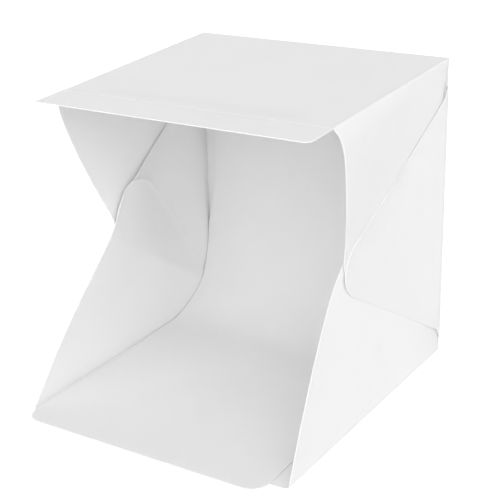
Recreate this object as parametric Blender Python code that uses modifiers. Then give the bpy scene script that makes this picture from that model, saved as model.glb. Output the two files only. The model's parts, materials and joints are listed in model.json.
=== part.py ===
"""Folding light tent cube: a small photo studio of scored plastic sheet.

A base, a back and a top sheet make three sides of a cube. Each carries a pair of
side flaps, which lean in a little and overlap, so that hidden discs can hold them
together. The top's flaps flare out below their folds first. A strip of lights sits
under the top, behind the front lip, and a loose backdrop sweeps from the floor up
the back.

Metres, +Z up. The origin is the centre of the base's underside and the opening
faces -Y. Joint axes run at the middle of the sheets' thickness, but the lip's at its lower face.
"""

import math

import bmesh
import bpy
from mathutils import Matrix, Vector

# Sheet stock
SHEET = 0.0008                 # thickness of every panel and flap
HINGE_GAP = 0.0007             # from a hinge axis to the edge of each sheet that it joins
SEAT_GAP = 0.0003              # between two pieces that rest on each other

# Main panels
WIDTH = 0.227
BASE_DEPTH = 0.245
BACK_RISE = 0.2429             # from the base's hinge axis to the top's
BACK_LEAN_RUN = 0.0034         # how far the back leans back over its rise
CREASE_SETBACK = 0.0647        # of the lip's crease, behind the base's front
TOP_DROP = 0.0085              # how far the top falls from its hinge to the crease
LIP_DEPTH = 0.0308
LIP_CORNER_LEFT = 0.0015       # corner radii at the lip's front
LIP_CORNER_RIGHT = 0.006
PANEL_CORNER = 0.002

# Where the three flaps of a side meet: behind the base's front and above the floor
CATCH_SETBACK = 0.120
CATCH_HEIGHT = 0.122

# How far each layer of flaps is pinched in there, and how much further on the left
PINCH_OUTER = 0.0045
PINCH_MIDDLE = 0.0078
PINCH_INNER = 0.0130
PINCH_LEFT_EXTRA = 0.0014

# Side flaps of the back: a triangle with a rounded point, where its edges would meet
BACK_POINT_BEYOND = 0.0456     # from the catch to the point, away from the hinge
BACK_POINT_BELOW = 0.0040      # from the catch to the point, along the hinge
BACK_FLAP_FOOT = 0.0165        # from the base to the root
BACK_FLAP_HEAD = 0.0269        # from the root to the top
BACK_FLAP_TIP = 0.023          # radius of the point
BACK_FLAP_EAR = 0.006          # run and rise that spread each end of the root

# Side flaps of the top
TOP_POINT_BEYOND = 0.0418      # from the catch to the point, away from the hinge
TOP_POINT_AHEAD = 0.0125       # from the catch to the point, towards the front
TOP_FLAP_TIP = 0.018
TOP_FLAP_SHOULDER = 0.030      # radius where the rear edge turns down
TOP_FLAP_REAR_START = 0.0035   # from the top's hinge to the root
TOP_FLAP_RELIEF = 0.0096       # run of the slanted edge beside the back flap's root
TOP_FLAP_CROSSING = 0.052      # where the rear edge goes over or under the back flap
EDGE_SLIT = 0.0038             # between the rear edge and the back flap's edge

# The top's flaps stand out above the back flap's edge, most at the front
FLARE_LEFT = 0.0125
FLARE_RIGHT = 0.0070
FLARE_RISE = 0.007             # how soon below the fold the flare grows
FLARE_START = 0.020            # from the top's hinge to where it starts

# Side flaps of the base: a triangle with a rounded point and crowned edges
BASE_POINT_BEYOND = 0.0404     # from the catch to the point, away from the hinge
BASE_POINT_BEHIND = 0.0100     # from the catch to the point, towards the back
BASE_FLAP_TIP = 0.027
BASE_FRONT_CROWN = 0.0054      # how far the front edge swells past a straight one
BASE_REAR_CROWN = 0.0078
FLAP_END_GAP = 0.0012          # from a panel's corner to a flap's root

# Discs that hold the flaps together
DISC_RADIUS = 0.005
MAGNET_THICKNESS = 0.001

# Backdrop sweep and the pads that hang it
BACKDROP_THICKNESS = 0.0005
BACKDROP_SIDE_GAP = 0.009      # from each side edge to the base's, at the front
BACKDROP_TAPER = 0.018         # how much narrower it is at its upper end
BACKDROP_SHIFT = -0.005        # it lies a little to the left
BACKDROP_WAIST = 0.010         # how far each side edge is cut in, midway along the sheet
WAIST_POWER = 8                # how short that cut is
BACKDROP_OVERHANG = 0.0145     # past the base's front edge
BACKDROP_CORNER = 0.014
BACKDROP_SWEEP = 0.070         # radius of the bend
BACKDROP_TOP_GAP = 0.016       # from its upper edge to the top's hinge
PAD_RADIUS = 0.0075
PAD_THICKNESS = 0.0009
PAD_SIDE_GAP = 0.022           # from the backdrop's side edge to a pad's centre
PAD_DROP = 0.020               # from the backdrop's upper edge to a pad's centre

# Light strip
BOARD_SIDE_GAP = 0.0255        # from each end to the side of the top
BOARD_WIDTH = 0.010
BOARD_THICKNESS = 0.001
TAPE_MARGIN = 0.001            # the tape is this much narrower than the board, all round
TAPE_THICKNESS = 0.0005
LIGHT_SETBACK = 0.012          # from the crease to the middle of the board
LED_COUNT = 20
LED_LENGTH = 0.0035
LED_WIDTH = 0.0028
LED_HEIGHT = 0.0007
LED_END_GAP = 0.006            # from the board's end to the first LED's middle
RESISTOR_LENGTH = 0.0020
RESISTOR_WIDTH = 0.00125
RESISTOR_HEIGHT = 0.0005
LEDS_PER_RESISTOR = 2

# Power socket at the board's end
SOCKET_WIDTH = 0.0075
SOCKET_LENGTH = 0.0056
SOCKET_HEIGHT = 0.0027
SOCKET_WALL = 0.0003
SOCKET_END_GAP = 0.002         # from the board's end to the socket's side
TONGUE_WIDTH = 0.0039
TONGUE_LENGTH = 0.0036
TONGUE_HEIGHT = 0.0006

# Smoothness
ARC_STEP = math.radians(7.5)
ROUND_SIDES = 32
SWEEP_STEPS = 14
CORNER_STEPS = 6
CROWN_STEPS = 5
FLARE_ROWS = 12
FLARE_COLUMNS = 12
ACROSS_STEPS = 2
RUN_STEPS = 6

WHITE_SHEET = (0.86, 0.86, 0.86)
BACKDROP_WHITE = (0.88, 0.88, 0.89)
STEEL = (0.62, 0.62, 0.63)
NICKEL = (0.70, 0.69, 0.67)
PAD_WHITE = (0.80, 0.80, 0.80)
BOARD_WHITE = (0.83, 0.84, 0.82)
LED_YELLOW = (0.87, 0.80, 0.42)
RESISTOR_BLACK = (0.03, 0.03, 0.03)
TAPE_WHITE = (0.78, 0.78, 0.76)

# Directions and places that follow from the sizes
AXIS_HEIGHT = SHEET / 2
AXIS_SIDE = WIDTH / 2 - SHEET / 2
FRONT = -BASE_DEPTH / 2
REAR_AXIS = BASE_DEPTH / 2 - SHEET / 2
HINGE_DEPTH = REAR_AXIS - FRONT      # from the base's front to its rear hinge axis
LEAN = math.asin(BACK_LEAN_RUN / BACK_RISE)
TOP_RUN = REAR_AXIS + BACK_LEAN_RUN - FRONT - CREASE_SETBACK
TOP_DEPTH = math.hypot(TOP_RUN, TOP_DROP)
SLOPE = math.atan(TOP_DROP / TOP_RUN)
BACKDROP_FRONT_WIDTH = WIDTH - 2 * BACKDROP_SIDE_GAP
BACKDROP_REAR_WIDTH = BACKDROP_FRONT_WIDTH - BACKDROP_TAPER
BOARD_LENGTH = WIDTH - 2 * BOARD_SIDE_GAP
ACROSS = Vector((1, 0, 0))
FORWARD = Vector((0, -1, 0))
UP = Vector((0, 0, 1))
BACK_UP = Vector((0, math.sin(LEAN), math.cos(LEAN)))
BACK_OUT = Vector((0, -math.cos(LEAN), math.sin(LEAN)))
TOP_OUT = Vector((0, -math.cos(SLOPE), -math.sin(SLOPE)))
TOP_DOWN = Vector((0, math.sin(SLOPE), -math.cos(SLOPE)))
BASE_HINGE = Vector((0, REAR_AXIS, AXIS_HEIGHT))
TOP_HINGE = BASE_HINGE + BACK_UP * BACK_RISE
LIP_HINGE = TOP_HINGE + TOP_OUT * TOP_DEPTH + TOP_DOWN * SHEET / 2
CATCH = Vector((0, FRONT + CATCH_SETBACK, CATCH_HEIGHT))


def clear_scene():
    for thing in list(bpy.data.objects):
        bpy.data.objects.remove(thing, do_unlink=True)


def new_collection(name):
    collection = bpy.data.collections.new(name)
    bpy.context.scene.collection.children.link(collection)
    return collection


def finish_material(name, colour, roughness, metallic=0.0):
    material = bpy.data.materials.new(name)
    material.use_nodes = True
    shader = material.node_tree.nodes["Principled BSDF"]
    shader.inputs["Base Color"].default_value = (*colour, 1)
    shader.inputs["Roughness"].default_value = roughness
    shader.inputs["Metallic"].default_value = metallic
    material.diffuse_color = (*colour, 1)
    return material


def frame_matrix(origin, along, away):
    """Local X runs along a hinge, local Y away from it in the sheet's plane."""
    normal = along.cross(away)
    return Matrix((
        (along.x, away.x, normal.x, origin.x),
        (along.y, away.y, normal.y, origin.y),
        (along.z, away.z, normal.z, origin.z),
        (0, 0, 0, 1),
    ))


def hinge_empty(name, origin, along, away, collection):
    """An empty on a hinge axis, which carries the pieces that turn about it."""
    empty = bpy.data.objects.new(name, None)
    empty.empty_display_size = WIDTH / 10
    empty.matrix_world = frame_matrix(origin, along, away)
    collection.objects.link(empty)
    return empty


def add_piece(name, data, hinge, collection, colour, roughness, metallic=0.0):
    """Link a piece under its hinge, in the hinge's own coordinates."""
    piece = bpy.data.objects.new(name, data)
    collection.objects.link(piece)
    piece.parent = hinge
    data.materials.append(finish_material(name + "_finish", colour, roughness, metallic))
    return piece


def rounded_outline(corners):
    """Turn corners (x, y, radius) into a ring of points with arcs at the corners."""
    ring = []
    count = len(corners)
    for index, (x, y, radius) in enumerate(corners):
        corner = Vector((x, y))
        if radius == 0:
            ring.append(corner)
            continue
        before = (Vector(corners[index - 1][:2]) - corner).normalized()
        after = (Vector(corners[(index + 1) % count][:2]) - corner).normalized()
        half_angle = before.angle(after) / 2
        middle = (before + after).normalized()
        centre = corner + middle * radius / math.sin(half_angle)
        start = corner + before * radius / math.tan(half_angle) - centre
        turn = start.angle_signed(corner + after * radius / math.tan(half_angle) - centre)
        steps = max(2, math.ceil(abs(turn) / ARC_STEP))
        for step in range(steps + 1):
            spoke = start.copy()
            spoke.rotate(Matrix.Rotation(-turn * step / steps, 2))
            ring.append(centre + spoke)
    return ring


def ring_of(radius, x, y):
    """A round hole's points."""
    turn = 2 * math.pi / ROUND_SIDES
    return [
        Vector((x + radius * math.cos(turn * side), y + radius * math.sin(turn * side)))
        for side in range(ROUND_SIDES)
    ]


def flat_sheet(name, rings, hinge, collection, lift=0.0):
    """A cut sheet, as a filled curve: its outline and any holes, lifted off the hinge's plane."""
    curve = bpy.data.curves.new(name, "CURVE")
    curve.dimensions = "2D"
    curve.fill_mode = "BOTH"
    curve.extrude = SHEET / 2
    for ring in rings:
        spline = curve.splines.new("POLY")
        spline.points.add(len(ring) - 1)
        for point, place in zip(spline.points, ring):
            point.co = (place.x, place.y, 0, 1)
        spline.use_cyclic_u = True
    piece = add_piece(name, curve, hinge, collection, WHITE_SHEET, 0.55)
    piece.location.z = lift
    return piece


def add_box(mesh_builder, size, centre):
    place = Matrix.Translation(centre) @ Matrix.Diagonal((*size, 1))
    bmesh.ops.create_cube(mesh_builder, size=1, matrix=place)


def block(name, size, centre, hinge, collection, *finish):
    mesh = bpy.data.meshes.new(name)
    builder = bmesh.new()
    add_box(builder, size, centre)
    builder.to_mesh(mesh)
    builder.free()
    return add_piece(name, mesh, hinge, collection, *finish)


def round_disc(name, radius, thickness, centre, hinge, collection, *finish):
    """A disc whose flat faces lie along the sheet that carries it."""
    mesh = bpy.data.meshes.new(name)
    builder = bmesh.new()
    bmesh.ops.create_cone(
        builder, cap_ends=True, segments=ROUND_SIDES, radius1=radius, radius2=radius,
        depth=thickness, matrix=Matrix.Translation(centre),
    )
    builder.to_mesh(mesh)
    builder.free()
    mesh.shade_smooth()
    mesh.set_sharp_from_angle(angle=math.radians(40))
    return add_piece(name, mesh, hinge, collection, *finish)


def panel_outline(half_width, near, far, left_radius, right_radius):
    return rounded_outline([
        (-half_width, near, 0),
        (half_width, near, 0),
        (half_width, far, right_radius),
        (-half_width, far, left_radius),
    ])


def make_panels(collection):
    """Base, back and top, and the lip, which folds down about the crease's lower side."""
    half = AXIS_SIDE - HINGE_GAP
    base = hinge_empty("base_datum", BASE_HINGE, ACROSS, FORWARD, collection)
    back = hinge_empty("back_hinge", BASE_HINGE, ACROSS, BACK_UP, collection)
    top = hinge_empty("top_hinge", TOP_HINGE, ACROSS, TOP_OUT, collection)
    lip = hinge_empty("lip_hinge", LIP_HINGE, ACROSS, TOP_OUT, collection)
    crease_gap = SEAT_GAP / 2
    flat_sheet("base_panel", [panel_outline(half, HINGE_GAP, HINGE_DEPTH, PANEL_CORNER, PANEL_CORNER)],
               base, collection)
    flat_sheet("back_panel", [panel_outline(half, HINGE_GAP, BACK_RISE - HINGE_GAP, 0, 0)],
               back, collection)
    flat_sheet("top_panel", [panel_outline(half, HINGE_GAP, TOP_DEPTH - crease_gap, 0, 0)],
               top, collection)
    front = panel_outline(WIDTH / 2, crease_gap, LIP_DEPTH, LIP_CORNER_LEFT, LIP_CORNER_RIGHT)
    flat_sheet("front_lip", [front], lip, collection, lift=-SHEET / 2)
    return {"base": base, "back": back, "top": top}


def catch_in(origin, along, away):
    """Where the flaps meet, as seen from a hinge: along it, and away from it."""
    return (CATCH - origin).dot(along), (CATCH - origin).dot(away)


def back_flap_point():
    along, out = catch_in(BASE_HINGE, BACK_UP, BACK_OUT)
    return along - BACK_POINT_BELOW, out + BACK_POINT_BEYOND


def back_flap_corners():
    """Root and point of a back flap: x along its hinge from the base, y away from it."""
    low = BACK_FLAP_FOOT
    high = BACK_RISE - BACK_FLAP_HEAD
    point, reach = back_flap_point()
    ear_share = (HINGE_GAP + BACK_FLAP_EAR) / reach
    return [
        (low - BACK_FLAP_EAR, HINGE_GAP, 0),
        (low + (point - low) * ear_share, HINGE_GAP + BACK_FLAP_EAR, BACK_FLAP_EAR),
        (point, reach, BACK_FLAP_TIP),
        (high + (point - high) * ear_share, HINGE_GAP + BACK_FLAP_EAR, BACK_FLAP_EAR),
        (high + BACK_FLAP_EAR, HINGE_GAP, 0),
    ]


def back_edge_in_top_frame(run):
    """How far below the top the back flap's upper edge lies, at a run from the top's hinge."""
    def in_top_frame(along, out):
        place = BASE_HINGE + BACK_UP * along + BACK_OUT * out - TOP_HINGE
        return place.dot(TOP_OUT), place.dot(TOP_DOWN)

    root_run, root_drop = in_top_frame(BACK_RISE - BACK_FLAP_HEAD, 0)
    point_run, point_drop = in_top_frame(*back_flap_point())
    share = (run - root_run) / (point_run - root_run)
    return root_drop + (point_drop - root_drop) * share


def top_flap_corners():
    """x along the top's side from its hinge, y down from it."""
    relief_drop = back_edge_in_top_frame(TOP_FLAP_RELIEF) - EDGE_SLIT
    crossing_drop = back_edge_in_top_frame(TOP_FLAP_CROSSING) - EDGE_SLIT
    catch_along, catch_down = catch_in(TOP_HINGE, TOP_OUT, TOP_DOWN)
    return [
        (TOP_FLAP_REAR_START, HINGE_GAP, 0),
        (TOP_FLAP_RELIEF, relief_drop, PANEL_CORNER),
        (TOP_FLAP_CROSSING, crossing_drop, TOP_FLAP_SHOULDER),
        (catch_along + TOP_POINT_AHEAD, catch_down + TOP_POINT_BEYOND, TOP_FLAP_TIP),
        (TOP_DEPTH - FLAP_END_GAP, HINGE_GAP, 0),
    ]


def flare_at(along, away):
    """How far out a top flap stands, as a share: held flat past the back flap's edge."""
    rise = 1 - math.exp((HINGE_GAP - away) / FLARE_RISE)
    held = min(away / back_edge_in_top_frame(along), 1)
    forward = (along - FLARE_START) / (TOP_DEPTH - FLARE_START)
    forward = min(max(forward, 0), 1)
    return rise * math.cos(held * math.pi / 2) * forward ** 2 * (3 - 2 * forward)


def slice_face(builder, direction, places):
    for place in places:
        bmesh.ops.bisect_plane(
            builder, geom=builder.verts[:] + builder.edges[:] + builder.faces[:],
            plane_co=direction * place, plane_no=direction,
        )


def flared_sheet(name, ring, outward, hinge, collection):
    """A cut sheet sliced into strips, closer by its fold, bent outwards and thickened."""
    builder = bmesh.new()
    builder.faces.new([builder.verts.new((place.x, place.y, 0)) for place in ring])
    reach = max(place.y for place in ring)
    rows = [reach * (row / FLARE_ROWS) ** 2 for row in range(1, FLARE_ROWS)]
    columns = [TOP_DEPTH * column / FLARE_COLUMNS for column in range(1, FLARE_COLUMNS)]
    slice_face(builder, Vector((0, 1, 0)), rows)
    slice_face(builder, Vector((1, 0, 0)), columns)
    bmesh.ops.triangulate(builder, faces=builder.faces[:])
    for vertex in builder.verts:
        vertex.co.z = outward * flare_at(vertex.co.x, vertex.co.y)
    mesh = bpy.data.meshes.new(name)
    builder.to_mesh(mesh)
    builder.free()
    piece = add_piece(name, mesh, hinge, collection, WHITE_SHEET, 0.55)
    thicken = piece.modifiers.new("thickness", "SOLIDIFY")
    thicken.thickness = SHEET
    thicken.offset = 0
    thicken.use_even_offset = True
    return piece


def cut_round_hole(piece, place, hinge, cutters):
    """Open a hole for a disc through a sheet."""
    mesh = bpy.data.meshes.new(piece.name + "_hole")
    builder = bmesh.new()
    bmesh.ops.create_cone(
        builder, cap_ends=True, segments=ROUND_SIDES, radius1=DISC_RADIUS + SEAT_GAP,
        radius2=DISC_RADIUS + SEAT_GAP, depth=DISC_RADIUS, matrix=Matrix.Translation(place),
    )
    builder.to_mesh(mesh)
    builder.free()
    cutter = bpy.data.objects.new(mesh.name, mesh)
    cutter.parent = hinge
    cutter.display_type = "WIRE"
    cutter.hide_render = True
    cutters.objects.link(cutter)
    cut = piece.modifiers.new("hole", "BOOLEAN")
    cut.operation = "DIFFERENCE"
    cut.object = cutter


def crowned(start, end, crown):
    """Points between the ends of an edge that swells to the left of its run."""
    swell = (end - start).orthogonal().normalized() * crown
    points = []
    for step in range(1, CROWN_STEPS):
        share = step / CROWN_STEPS
        place = start.lerp(end, share) + swell * 4 * share * (1 - share)
        points.append((place.x, place.y, 0))
    return points


def base_flap_corners():
    """x along the base's side from its rear hinge, y up from it."""
    catch_along, catch_up = catch_in(BASE_HINGE, FORWARD, UP)
    point = Vector((catch_along - BASE_POINT_BEHIND, catch_up + BASE_POINT_BEYOND))
    rear = Vector((FLAP_END_GAP, HINGE_GAP))
    front = Vector((HINGE_DEPTH - PANEL_CORNER, HINGE_GAP))
    return [
        (rear.x, rear.y, 0),
        *crowned(rear, point, BASE_REAR_CROWN),
        (point.x, point.y, BASE_FLAP_TIP),
        *crowned(point, front, BASE_FRONT_CROWN),
        (front.x, front.y, 0),
    ]


def make_flap(name, side, fold, corners, pinch, disc, collection, cutters, flare=0.0):
    """One side flap and its disc. disc is "inner", "outer" or "through": the face it is on."""
    origin, along, away = fold
    catch_along, reach = catch_in(origin, along, away)
    if side < 0:
        pinch = pinch + PINCH_LEFT_EXTRA
    lean = math.asin(pinch / reach)
    edge = origin + ACROSS * side * AXIS_SIDE
    leaning = away * math.cos(lean) - ACROSS * side * math.sin(lean)
    hinge = hinge_empty(name + "_hinge", edge, along, leaning, collection)
    inward = math.copysign(1, along.cross(leaning).dot(-ACROSS * side))
    centre = Vector((catch_along, reach, 0))
    rings = [rounded_outline(corners)]
    if flare:
        piece = flared_sheet(name, rings[0], -inward * flare, hinge, collection)
        if disc == "through":
            cut_round_hole(piece, centre, hinge, cutters)
    else:
        if disc == "through":
            rings.append(ring_of(DISC_RADIUS + SEAT_GAP, catch_along, reach))
        flat_sheet(name, rings, hinge, collection)

    if disc == "through":
        round_disc(name + "_catch", DISC_RADIUS, SHEET, centre, hinge, collection,
                   STEEL, 0.35, 1.0)
        return
    face = inward if disc == "inner" else -inward
    centre.z = face * (SHEET / 2 + SEAT_GAP + MAGNET_THICKNESS / 2)
    round_disc(name + "_magnet", DISC_RADIUS, MAGNET_THICKNESS, centre, hinge, collection,
               NICKEL, 0.30, 1.0)


def make_flaps(collection, cutters):
    """The back flap lies outside on the right, and the top flap on the left."""
    base_fold = (BASE_HINGE, FORWARD, UP)
    back_fold = (BASE_HINGE, BACK_UP, BACK_OUT)
    top_fold = (TOP_HINGE, TOP_OUT, TOP_DOWN)
    for side, word, flare in ((1, "right", FLARE_RIGHT), (-1, "left", FLARE_LEFT)):
        back_is_outer = side > 0
        back_pinch = PINCH_OUTER if back_is_outer else PINCH_MIDDLE
        top_pinch = PINCH_MIDDLE if back_is_outer else PINCH_OUTER
        back_disc = "inner" if back_is_outer else "through"
        top_disc = "through" if back_is_outer else "inner"
        make_flap("base_flap_" + word, side, base_fold, base_flap_corners(), PINCH_INNER,
                  "outer", collection, cutters)
        make_flap("back_flap_" + word, side, back_fold, back_flap_corners(), back_pinch,
                  back_disc, collection, cutters)
        make_flap("top_flap_" + word, side, top_fold, top_flap_corners(), top_pinch,
                  top_disc, collection, cutters, flare)


def backdrop_gap():
    """From the back panel's middle to the backdrop's: two pads and three seats between."""
    return SHEET / 2 + 2 * PAD_THICKNESS + 3 * SEAT_GAP + BACKDROP_THICKNESS / 2


def backdrop_profile():
    """Places along the sweep, front to top, as (length from the front, y, z)."""
    floor_height = SHEET + SEAT_GAP + BACKDROP_THICKNESS / 2
    turn = math.pi / 2 - LEAN
    wall_foot = BASE_HINGE + BACK_OUT * backdrop_gap()
    wall_foot = wall_foot + BACK_UP * (floor_height - wall_foot.z) / BACK_UP.z
    tangent = BACKDROP_SWEEP * math.tan(turn / 2)
    bend_start = Vector((0, wall_foot.y - tangent, floor_height))
    rise_end = BACK_RISE - BACKDROP_TOP_GAP
    front = FRONT - BACKDROP_OVERHANG
    places = []
    for step in range(CORNER_STEPS + 1):
        swing = math.pi / 2 * step / CORNER_STEPS
        length = BACKDROP_CORNER * (1 - math.cos(swing))
        places.append((length, front + length, floor_height))
    floor_run = bend_start.y - front
    for step in range(1, RUN_STEPS):
        length = BACKDROP_CORNER + (floor_run - BACKDROP_CORNER) * step / RUN_STEPS
        places.append((length, front + length, floor_height))
    for step in range(SWEEP_STEPS + 1):
        swing = turn * step / SWEEP_STEPS
        y = bend_start.y + BACKDROP_SWEEP * math.sin(swing)
        z = floor_height + BACKDROP_SWEEP * (1 - math.cos(swing))
        places.append((floor_run + BACKDROP_SWEEP * swing, y, z))
    top = BASE_HINGE + BACK_OUT * backdrop_gap() + BACK_UP * rise_end
    length, y, z = places[-1]
    rise = math.hypot(top.y - y, top.z - z)
    for step in range(1, RUN_STEPS + 1):
        share = step / RUN_STEPS
        places.append((length + rise * share, y + (top.y - y) * share, z + (top.z - z) * share))
    return places


def backdrop_half_width(length, whole):
    """Half the sheet's width at a length from its front, with taper, waist and round corners."""
    share = length / whole
    half = (BACKDROP_FRONT_WIDTH + (BACKDROP_REAR_WIDTH - BACKDROP_FRONT_WIDTH) * share) / 2
    half -= BACKDROP_WAIST * math.sin(math.pi * share) ** WAIST_POWER
    if length < BACKDROP_CORNER:
        half -= BACKDROP_CORNER
        half += math.sqrt(BACKDROP_CORNER ** 2 - (BACKDROP_CORNER - length) ** 2)
    return half


def make_backdrop(empties, collection):
    """A grid bent along the sweep, thickened, and the pads that hang it on the back."""
    profile = backdrop_profile()
    whole = profile[-1][0]
    rows = len(profile)
    builder = bmesh.new()
    bmesh.ops.create_grid(builder, x_segments=ACROSS_STEPS, y_segments=rows - 1, size=1)
    for vertex in builder.verts:
        row = round((vertex.co.y + 1) / 2 * (rows - 1))
        length, y, z = profile[row]
        half = backdrop_half_width(length, whole)
        vertex.co = (BACKDROP_SHIFT + vertex.co.x * half, y, z)
    mesh = bpy.data.meshes.new("backdrop_sheet")
    builder.to_mesh(mesh)
    builder.free()
    sheet = add_piece("backdrop_sheet", mesh, None, collection, BACKDROP_WHITE, 0.60)
    thicken = sheet.modifiers.new("thickness", "SOLIDIFY")
    thicken.thickness = BACKDROP_THICKNESS
    thicken.offset = 0

    pad_rise = BACK_RISE - BACKDROP_TOP_GAP - PAD_DROP
    hook_out = SHEET / 2 + SEAT_GAP + PAD_THICKNESS / 2
    loop_out = hook_out + PAD_THICKNESS + SEAT_GAP
    for side, word in ((1, "right"), (-1, "left")):
        x = BACKDROP_SHIFT + side * (BACKDROP_REAR_WIDTH / 2 - PAD_SIDE_GAP)
        for kind, out in (("hook_pad_", hook_out), ("loop_pad_", loop_out)):
            round_disc(kind + word, PAD_RADIUS, PAD_THICKNESS, Vector((x, pad_rise, out)),
                       empties["back"], collection, PAD_WHITE, 0.90)


def led_places():
    run = BOARD_LENGTH - 2 * LED_END_GAP - SOCKET_WIDTH - SOCKET_END_GAP
    start = -BOARD_LENGTH / 2 + LED_END_GAP
    return [start + run * index / (LED_COUNT - 1) for index in range(LED_COUNT)]


def make_light(empties, collection):
    """The light strip: tape, board, LEDs, resistors and a socket, all under the top."""
    top = empties["top"]
    line = TOP_DEPTH - LIGHT_SETBACK
    tape_out = SHEET / 2 + SEAT_GAP + TAPE_THICKNESS / 2
    board_out = tape_out + TAPE_THICKNESS / 2 + SEAT_GAP + BOARD_THICKNESS / 2
    face = board_out + BOARD_THICKNESS / 2 + SEAT_GAP
    tape_size = (BOARD_LENGTH - 2 * TAPE_MARGIN, BOARD_WIDTH - 2 * TAPE_MARGIN, TAPE_THICKNESS)
    board_size = (BOARD_LENGTH, BOARD_WIDTH, BOARD_THICKNESS)
    block("light_tape", tape_size, Vector((0, line, tape_out)), top, collection,
          TAPE_WHITE, 0.80)
    block("light_board", board_size, Vector((0, line, board_out)), top, collection,
          BOARD_WHITE, 0.45)

    led_line = line + BOARD_WIDTH / 2 - TAPE_MARGIN - LED_WIDTH / 2
    led_size = (LED_LENGTH, LED_WIDTH, LED_HEIGHT)
    for index, x in enumerate(led_places(), start=1):
        block(f"light_led_{index:02d}", led_size, Vector((x, led_line, face + LED_HEIGHT / 2)),
              top, collection, LED_YELLOW, 0.40)

    resistor_line = line - BOARD_WIDTH / 2 + TAPE_MARGIN + RESISTOR_WIDTH
    resistor_size = (RESISTOR_LENGTH, RESISTOR_WIDTH, RESISTOR_HEIGHT)
    for index, x in enumerate(led_places()[::LEDS_PER_RESISTOR], start=1):
        centre = Vector((x, resistor_line, face + RESISTOR_HEIGHT / 2))
        block(f"light_resistor_{index:02d}", resistor_size, centre, top, collection,
              RESISTOR_BLACK, 0.50)
    make_socket(top, line, face, collection)


def make_socket(top, line, face, collection):
    """A power socket on the board's right end, with its mouth towards the back."""
    x = BOARD_LENGTH / 2 - SOCKET_END_GAP - SOCKET_WIDTH / 2
    mouth = line - BOARD_WIDTH / 2
    middle = face + SOCKET_HEIGHT / 2
    builder = bmesh.new()
    size = (SOCKET_WIDTH, SOCKET_LENGTH, SOCKET_HEIGHT)
    add_box(builder, size, Vector((x, mouth + SOCKET_LENGTH / 2, middle)))
    open_face = min(builder.faces, key=lambda face: face.calc_center_median().y)
    bmesh.ops.delete(builder, geom=[open_face], context="FACES")
    mesh = bpy.data.meshes.new("socket_shell")
    builder.to_mesh(mesh)
    builder.free()
    shell = add_piece("socket_shell", mesh, top, collection, STEEL, 0.35, 1.0)
    wall = shell.modifiers.new("wall", "SOLIDIFY")
    wall.thickness = SOCKET_WALL
    wall.offset = -1
    wall.use_even_offset = True

    tongue_rear = mouth + SOCKET_LENGTH - SOCKET_WALL - SEAT_GAP
    tongue_size = (TONGUE_WIDTH, TONGUE_LENGTH, TONGUE_HEIGHT)
    tongue_middle = Vector((x, tongue_rear - TONGUE_LENGTH / 2, middle))
    block("socket_tongue", tongue_size, tongue_middle, top, collection, RESISTOR_BLACK, 0.45)


def main():
    clear_scene()
    collection = new_collection("light_tent_cube")
    cutters = new_collection("cutters")
    empties = make_panels(collection)
    make_flaps(collection, cutters)
    make_backdrop(empties, collection)
    make_light(empties, collection)
    print("pieces", len([thing for thing in collection.objects if thing.type != "EMPTY"]))


main()
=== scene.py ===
# %% [markdown]
# # Dressing a light tent cube
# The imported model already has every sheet, hinge, magnet and light in its place, as flat
# CAD solids. This lesson gives them their looks: sheets that flare and settle as pressed
# plastic does, rolled folds, bright cut edges, and a small circuit under the roof.

# %% Load the frame
import json
import math

import bmesh
import bpy
import numpy as np
from mathutils import Matrix, Vector


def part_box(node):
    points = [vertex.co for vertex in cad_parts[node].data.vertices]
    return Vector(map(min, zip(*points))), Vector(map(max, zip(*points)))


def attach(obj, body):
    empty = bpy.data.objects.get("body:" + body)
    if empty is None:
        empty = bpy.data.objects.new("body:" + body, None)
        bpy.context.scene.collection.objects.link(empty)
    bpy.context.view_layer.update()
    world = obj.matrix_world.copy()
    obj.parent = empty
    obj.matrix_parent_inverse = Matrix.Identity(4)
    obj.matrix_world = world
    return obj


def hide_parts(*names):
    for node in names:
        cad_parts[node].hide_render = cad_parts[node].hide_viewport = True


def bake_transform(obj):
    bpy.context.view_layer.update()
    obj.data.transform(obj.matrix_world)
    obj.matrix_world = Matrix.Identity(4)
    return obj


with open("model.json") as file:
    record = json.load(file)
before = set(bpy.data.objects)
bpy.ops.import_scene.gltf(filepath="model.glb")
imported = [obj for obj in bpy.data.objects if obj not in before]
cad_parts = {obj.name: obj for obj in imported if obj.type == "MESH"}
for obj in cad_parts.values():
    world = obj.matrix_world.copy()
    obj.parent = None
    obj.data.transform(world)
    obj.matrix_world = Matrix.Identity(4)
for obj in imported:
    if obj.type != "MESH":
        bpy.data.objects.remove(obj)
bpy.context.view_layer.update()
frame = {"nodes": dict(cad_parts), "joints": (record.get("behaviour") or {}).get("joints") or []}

# %% [markdown]
# ## The camera
# The photograph looks down on the cube's right front corner. A camera is easiest to trust
# when it is given as a place, two angles and a small roll, so those are the named values.
# Each is one rotation matrix, since a target to look at would leave no place for the roll.
# The lens is long, which keeps the upright edges almost parallel.

# %% Place the camera
CAMERA_PLACE = Vector((0.4815, -0.7259, 0.4542))
CAMERA_TURN = math.radians(33.05)      # to the left of straight ahead
CAMERA_DIP = math.radians(21.6)
CAMERA_ROLL = math.radians(-1.72)
SENSOR = 36.0                          # in millimetres, as the lens
LENS = 88.37
NEAREST_SEEN = 0.01


def new_object(name, data):
    """An object in the scene for a camera or a mesh."""
    made = bpy.data.objects.new(name, data)
    bpy.context.scene.collection.objects.link(made)
    return made


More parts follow.
